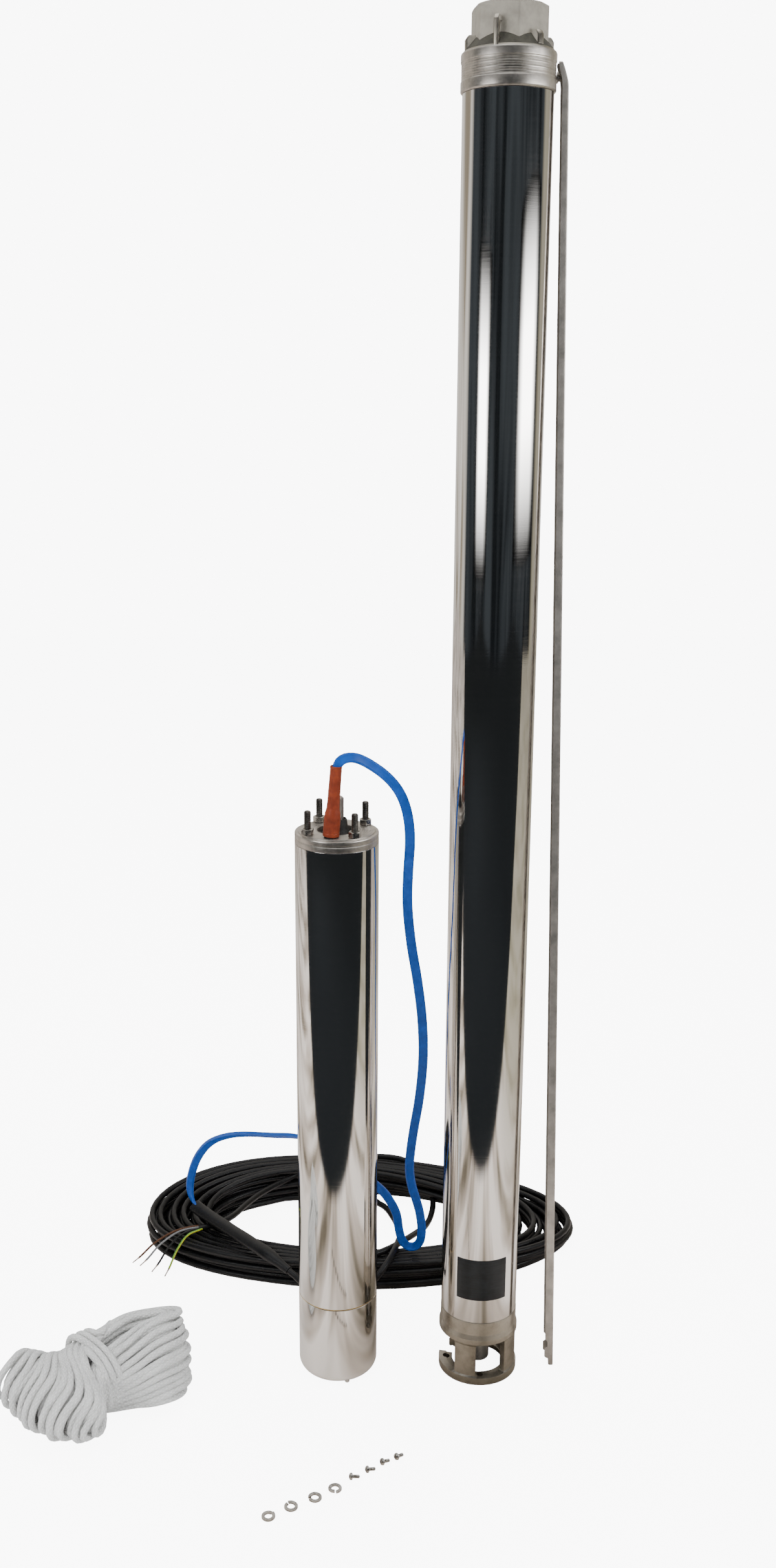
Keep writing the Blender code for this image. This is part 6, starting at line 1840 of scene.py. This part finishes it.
class PUMPKIT_OT_loose(bpy.types.Operator):
    """Row of split washers and pan head screws on the floor."""

    bl_idname = "pumpkit.loose"
    bl_label = "Loose washers and screws"

    def execute(self, context):
        bright = fastener_steel()
        outer, inner, height = 0.0075, 0.0041, 0.0021
        steps = 56
        gap = 0.11
        edge = 0.00025
        corners = rounded([(outer, height, edge), (outer, 0, edge), (inner, 0, edge), (inner, height, edge)], True, 2)
        verts = []
        for i in range(steps + 1):
            turn = gap + (2 * math.pi - 2 * gap) * i / steps
            lift = 0.0009 * max(0.0, (i / steps - 0.55) / 0.45) ** 2
            verts += [(x * math.cos(turn), x * math.sin(turn), z + lift) for x, z in corners]
        count = len(corners)
        faces = []
        for i in range(steps):
            for j in range(count):
                k = (j + 1) % count
                faces.append((i * count + j, i * count + k, (i + 1) * count + k, (i + 1) * count + j))
        last = steps * count
        faces += [tuple(range(count)), tuple(last + j for j in range(count))]
        mesh = new_mesh("split_washer", verts, faces, 40.0)
        mesh.materials.append(bright)
        for i, (x, y) in enumerate(WASHER_PLACES):
            washer = piece(f"split_washer_{i + 1}", mesh, None,
                           Matrix.Translation((x, y, 0.00005)) @ Matrix.Rotation(0.9 + 1.3 * i, 4, "Z"))
            keep(washer, "kit", f"lock_washer_{i + 1}", slot="plain_stainless")

        head = lathe("pan_head", rounded([
            (0, -0.0030, 0), (0.0021, -0.0029, 0.0006), (0.0037, -0.0019, 0.0010), (0.0040, -0.0004, 0.0003),
            (0.0039, 0.0, 0.0001), (0, 0.0, 0)], False), 48, finish=bright)
        slots = []
        for turn in (0.0, math.pi / 2):
            lie = Matrix.Rotation(turn, 4, "Z") @ Matrix.Translation((0, 0, -0.0029))
            slots.append(prism("cross_slot", [(-0.0020, -0.00045), (0.0020, -0.00045), (0.0020, 0.00045),
                                              (-0.0020, 0.00045)], 0.0024, lie))
        combine(head, slots, "DIFFERENCE")
        settled(head, slots)
        shank = threaded("screw_shank", 0.0020, 0.0007, 0.0004, -0.0003, 0.009, 24, 0.0006, bright)
        model = joined("pan_screw", [head, shank])
        length = 0.009
        tilt = math.asin((0.004 - 0.002) / math.hypot(length, 0.002))
        for i, (x, y) in enumerate(SCREW_PLACES):
            lie = Matrix.Rotation(math.pi / 2 + tilt, 4, "Y")
            lift = 0.004 * math.cos(tilt) + 0.0001
            spot = Matrix.Translation((x, y, lift)) @ Matrix.Rotation(math.radians(14 + 9 * i), 4, "Z") @ lie
            spot = spot @ Matrix.Rotation(0.5 * i, 4, "Z")
            mesh = model.data.copy()
            mesh.transform(spot)
            screw = piece(f"pan_screw_{i + 1}", mesh)
            keep(screw, "kit", f"guard_screw_{i + 1}", slot="plain_stainless")
        bpy.data.objects.remove(model, do_unlink=True)
        return {"FINISHED"}


# Stage

def floor_finish(stage):
    """Pale floor. In reflections it is creamy close by and dark further forward."""
    made = bpy.data.materials.new("studio_floor")
    made.use_nodes = True
    tree = made.node_tree
    shader = tree.nodes["Principled BSDF"]
    shader.inputs["Roughness"].default_value = 0.9
    shader.inputs["Specular IOR Level"].default_value = 0.05
    place = tree.nodes.new("ShaderNodeNewGeometry")
    parts = tree.nodes.new("ShaderNodeSeparateXYZ")
    tree.links.new(place.outputs["Position"], parts.inputs["Vector"])
    slant = tree.nodes.new("ShaderNodeMapping")
    slant.inputs["Rotation"].default_value = (0.0, 0.0, math.radians(8.0))
    tree.links.new(place.outputs["Position"], slant.inputs["Vector"])
    ahead = tree.nodes.new("ShaderNodeSeparateXYZ")
    tree.links.new(slant.outputs["Vector"], ahead.inputs["Vector"])
    near = between(tree, ahead.outputs["Y"], 0.0, 1.0, -stage.dark_floor - 0.02, -stage.dark_floor + 0.03)
    streaks = tree.nodes.new("ShaderNodeMapping")
    streaks.inputs["Scale"].default_value = (5.5, 1.1, 1.0)
    tree.links.new(place.outputs["Position"], streaks.inputs["Vector"])
    cream = shades(tree, noise(tree, streaks.outputs["Vector"], 1.0, 3.0, 0.5, 0.4), [
        (0.36, (0.15, 0.125, 0.09)), (0.47, (0.55, 0.47, 0.40)), (0.58, (0.93, 0.85, 0.78))])
    shade = tree.nodes.new("ShaderNodeMix")
    shade.data_type = "RGBA"
    shade.inputs[6].default_value = (0.012, 0.014, 0.016, 1.0)
    tree.links.new(near, shade.inputs[0])
    olive = tree.nodes.new("ShaderNodeMix")
    olive.data_type = "RGBA"
    tree.links.new(between(tree, parts.outputs["X"], 0.0, 0.8, 0.35, 0.90), olive.inputs[0])
    tree.links.new(cream, olive.inputs[6])
    olive.inputs[7].default_value = (0.36, 0.33, 0.24, 1.0)
    tree.links.new(olive.outputs[2], shade.inputs[7])
    seen = shade.outputs[2]
    light = tree.nodes.new("ShaderNodeLightPath")
    blend = tree.nodes.new("ShaderNodeMix")
    blend.data_type = "RGBA"
    blend.inputs[6].default_value = (*stage.floor, 1.0)
    tree.links.new(light.outputs["Is Glossy Ray"], blend.inputs[0])
    tree.links.new(seen, blend.inputs[7])
    tree.links.new(blend.outputs[2], shader.inputs["Base Color"])
    shader.inputs["Emission Color"].default_value = (1.0, 1.0, 1.0, 1.0)
    glow = between(tree, light.outputs["Is Camera Ray"], 0.0, stage.floor_glow)
    tree.links.new(glow, shader.inputs["Emission Strength"])
    return made


def room_light():
    """White room for the eye, soft light for plain surfaces, dark front half for mirrors."""
    world = bpy.data.worlds.new("studio_room")
    bpy.context.scene.world = world
    world.use_nodes = True
    tree = world.node_tree
    tree.nodes.clear()
    out = tree.nodes.new("ShaderNodeOutputWorld")
    path = tree.nodes.new("ShaderNodeLightPath")
    coords = tree.nodes.new("ShaderNodeTexCoord")
    parts = tree.nodes.new("ShaderNodeSeparateXYZ")
    tree.links.new(coords.outputs["Generated"], parts.inputs["Vector"])
    back = between(tree, parts.outputs["Y"], 0.0, 1.0, 0.14, 0.30)
    drift = noise(tree, coords.outputs["Generated"], 2.6, 3.0, 0.5, 0.5)
    dim = shades(tree, drift, [(0.40, (0.008, 0.010, 0.012)), (0.62, (0.050, 0.058, 0.066))])
    pale = shades(tree, drift, [(0.38, (0.34, 0.29, 0.22)), (0.46, (0.80, 0.75, 0.68)), (0.60, (1.0, 0.96, 0.90))])
    olive = tree.nodes.new("ShaderNodeMix")
    olive.data_type = "RGBA"
    tree.links.new(between(tree, parts.outputs["X"], 0.0, 0.85, 0.25, 0.80), olive.inputs[0])
    tree.links.new(pale, olive.inputs[6])
    olive.inputs[7].default_value = (0.34, 0.31, 0.22, 1.0)
    halves = tree.nodes.new("ShaderNodeMix")
    halves.data_type = "RGBA"
    tree.links.new(back, halves.inputs[0])
    tree.links.new(dim, halves.inputs[6])
    tree.links.new(olive.outputs[2], halves.inputs[7])
    mirror = halves.outputs[2]
    plain = tree.nodes.new("ShaderNodeBackground")
    plain.inputs["Color"].default_value = (0.93, 0.94, 0.96, 1.0)
    plain.inputs["Strength"].default_value = 1.0
    shiny = tree.nodes.new("ShaderNodeBackground")
    tree.links.new(mirror, shiny.inputs["Color"])
    seen = tree.nodes.new("ShaderNodeBackground")
    seen.inputs["Color"].default_value = (1.0, 1.0, 1.0, 1.0)
    seen.inputs["Strength"].default_value = 9.0
    first = tree.nodes.new("ShaderNodeMixShader")
    tree.links.new(path.outputs["Is Glossy Ray"], first.inputs["Fac"])
    tree.links.new(plain.outputs["Background"], first.inputs[1])
    tree.links.new(shiny.outputs["Background"], first.inputs[2])
    second = tree.nodes.new("ShaderNodeMixShader")
    tree.links.new(path.outputs["Is Camera Ray"], second.inputs["Fac"])
    tree.links.new(first.outputs["Shader"], second.inputs[1])
    tree.links.new(seen.outputs["Background"], second.inputs[2])
    tree.links.new(second.outputs["Shader"], out.inputs["Surface"])


def soft_light(name, place, target, width, height, power, colour=(1.0, 1.0, 1.0)):
    data = bpy.data.lights.new(name, "AREA")
    data.shape = "RECTANGLE"
    data.size = width
    data.size_y = height
    data.energy = power
    data.color = colour
    made = bpy.data.objects.new(name, data)
    made.location = place
    made.rotation_euler = (Vector(target) - Vector(place)).to_track_quat("-Z", "Y").to_euler()
    bpy.context.scene.collection.objects.link(made)
    return made


def soft_panel(name, place, target, width, height, glow, fade):
    """Glowing panel that fades out towards its rim. The eye sees it only in reflections."""
    half = Vector((width / 2, height / 2, 0.0))
    corners = [(-half.x, -half.y, 0), (half.x, -half.y, 0), (half.x, half.y, 0), (-half.x, half.y, 0)]
    made = bpy.data.materials.new(name)
    made.use_nodes = True
    tree = made.node_tree
    tree.nodes.clear()
    coords = tree.nodes.new("ShaderNodeTexCoord")
    parts = tree.nodes.new("ShaderNodeSeparateXYZ")
    tree.links.new(coords.outputs["Object"], parts.inputs["Vector"])
    shares = []
    for axis, reach, soft in (("X", half.x, fade[0]), ("Y", half.y, fade[1])):
        distance = tree.nodes.new("ShaderNodeMath")
        distance.operation = "ABSOLUTE"
        tree.links.new(parts.outputs[axis], distance.inputs[0])
        shares.append(between(tree, distance.outputs["Value"], 1.0, 0.0, reach * (1 - soft), reach))
    share = times(tree, shares[0], shares[1])
    emitter = tree.nodes.new("ShaderNodeEmission")
    tree.links.new(between(tree, times(tree, share, share), 0.0, glow), emitter.inputs["Strength"])
    out = tree.nodes.new("ShaderNodeOutputMaterial")
    tree.links.new(emitter.outputs["Emission"], out.inputs["Surface"])
    turn = (Vector(target) - Vector(place)).to_track_quat("-Z", "Y").to_matrix().to_4x4()
    panel = piece(name, new_mesh(name, corners, [(0, 1, 2, 3)]), made, Matrix.Translation(place) @ turn)
    panel.visible_camera = False
    return panel


class PUMPKIT_OT_stage(bpy.types.Operator):
    """Pale floor, soft lights and the camera."""

    bl_idname = "pumpkit.stage"
    bl_label = "Stage"

    def execute(self, context):
        stage = context.scene.pump_kit_stage
        reach = 6.0
        floor = piece("studio_floor", new_mesh("studio_floor", [
            (-reach, -reach, -0.0005), (reach, -reach, -0.0005), (reach, reach, -0.0005), (-reach, reach, -0.0005)],
            [(0, 1, 2, 3)]), floor_finish(stage))
        room_light()
        soft_panel("left_panel", (-1.09, -0.80, 1.22), (0.078, 0.115, 1.22), 0.92, 0.72,
                   stage.panel_glow, (0.5, 0.75))
        soft_panel("right_panel", (1.50, -0.50, 1.30), (0.078, 0.115, 1.30), 1.80, 0.84,
                   stage.panel_glow, (0.55, 0.75))
        side = soft_light("side_light", (-2.2, -2.0, 2.2), (0.0, 0.1, 0.4), 1.4, 1.4, stage.key_power)
        side.visible_glossy = False
        soft_light("overhead_light", (0.1, 0.2, 3.0), (0.0, 0.15, 0.0), 2.4, 2.4, stage.top_power)

        camera = bpy.data.cameras.new("photo_camera")
        camera.sensor_fit = "VERTICAL"
        camera.sensor_height = 36.0
        camera.lens = 34.9
        camera.shift_x = 0.0236
        camera.shift_y = 0.0128
        stand = bpy.data.objects.new("photo_camera", camera)
        stand.location = (-0.078, -1.525, 1.156)
        stand.rotation_euler = (math.radians(90.0 - 15.04), 0.0, 0.0)
        context.scene.collection.objects.link(stand)
        context.scene.camera = stand
        return {"FINISHED"}


OPERATORS = (
    PUMPKIT_OT_stage, PUMPKIT_OT_lead, PUMPKIT_OT_cable, PUMPKIT_OT_conductors, PUMPKIT_OT_rope,
    PUMPKIT_OT_head, PUMPKIT_OT_valve, PUMPKIT_OT_sleeve, PUMPKIT_OT_bracket, PUMPKIT_OT_pump_inside,
    PUMPKIT_OT_motor_barrel, PUMPKIT_OT_flange, PUMPKIT_OT_motor_shaft, PUMPKIT_OT_boot,
    PUMPKIT_OT_motor_inside, PUMPKIT_OT_guard, PUMPKIT_OT_loose,
)


class PUMPKIT_PT_panel(bpy.types.Panel):
    """Pieces of the pump kit, in the order they are built."""

    bl_idname = "PUMPKIT_PT_panel"
    bl_label = "Borehole Pump Kit"
    bl_space_type = "VIEW_3D"
    bl_region_type = "UI"
    bl_category = "Pump Kit"

    def draw(self, context):
        layout = self.layout
        for operator in OPERATORS:
            layout.operator(operator.bl_idname, text=operator.bl_label)
        for group in (context.scene.pump_kit_sizes, context.scene.pump_kit_finishes, context.scene.pump_kit_stage):
            box = layout.box()
            for name in group.bl_rna.properties.keys():
                if name not in ("rna_type", "name"):
                    box.prop(group, name)


CLASSES = (PumpKitSizes, PumpKitFinishes, PumpKitStage) + OPERATORS + (PUMPKIT_PT_panel,)


def register():
    for kind in CLASSES:
        bpy.utils.register_class(kind)
    bpy.types.Scene.pump_kit_sizes = PointerProperty(type=PumpKitSizes)
    bpy.types.Scene.pump_kit_finishes = PointerProperty(type=PumpKitFinishes)
    bpy.types.Scene.pump_kit_stage = PointerProperty(type=PumpKitStage)


def unregister():
    del bpy.types.Scene.pump_kit_stage
    del bpy.types.Scene.pump_kit_finishes
    del bpy.types.Scene.pump_kit_sizes
    for kind in reversed(CLASSES):
        bpy.utils.unregister_class(kind)


def main():
    register()
    bpy.ops.pumpkit.stage()
    bpy.ops.pumpkit.lead()
    bpy.ops.pumpkit.cable()
    bpy.ops.pumpkit.conductors()
    bpy.ops.pumpkit.rope()
    bpy.ops.pumpkit.head()
    bpy.ops.pumpkit.valve()
    bpy.ops.pumpkit.sleeve()
    bpy.ops.pumpkit.bracket()
    bpy.ops.pumpkit.pump_inside()
    bpy.ops.pumpkit.motor_barrel()
    bpy.ops.pumpkit.flange()
    bpy.ops.pumpkit.motor_shaft()
    bpy.ops.pumpkit.boot()
    bpy.ops.pumpkit.motor_inside()
    bpy.ops.pumpkit.guard()
    bpy.ops.pumpkit.loose()


if __name__ == "__main__":
    main()
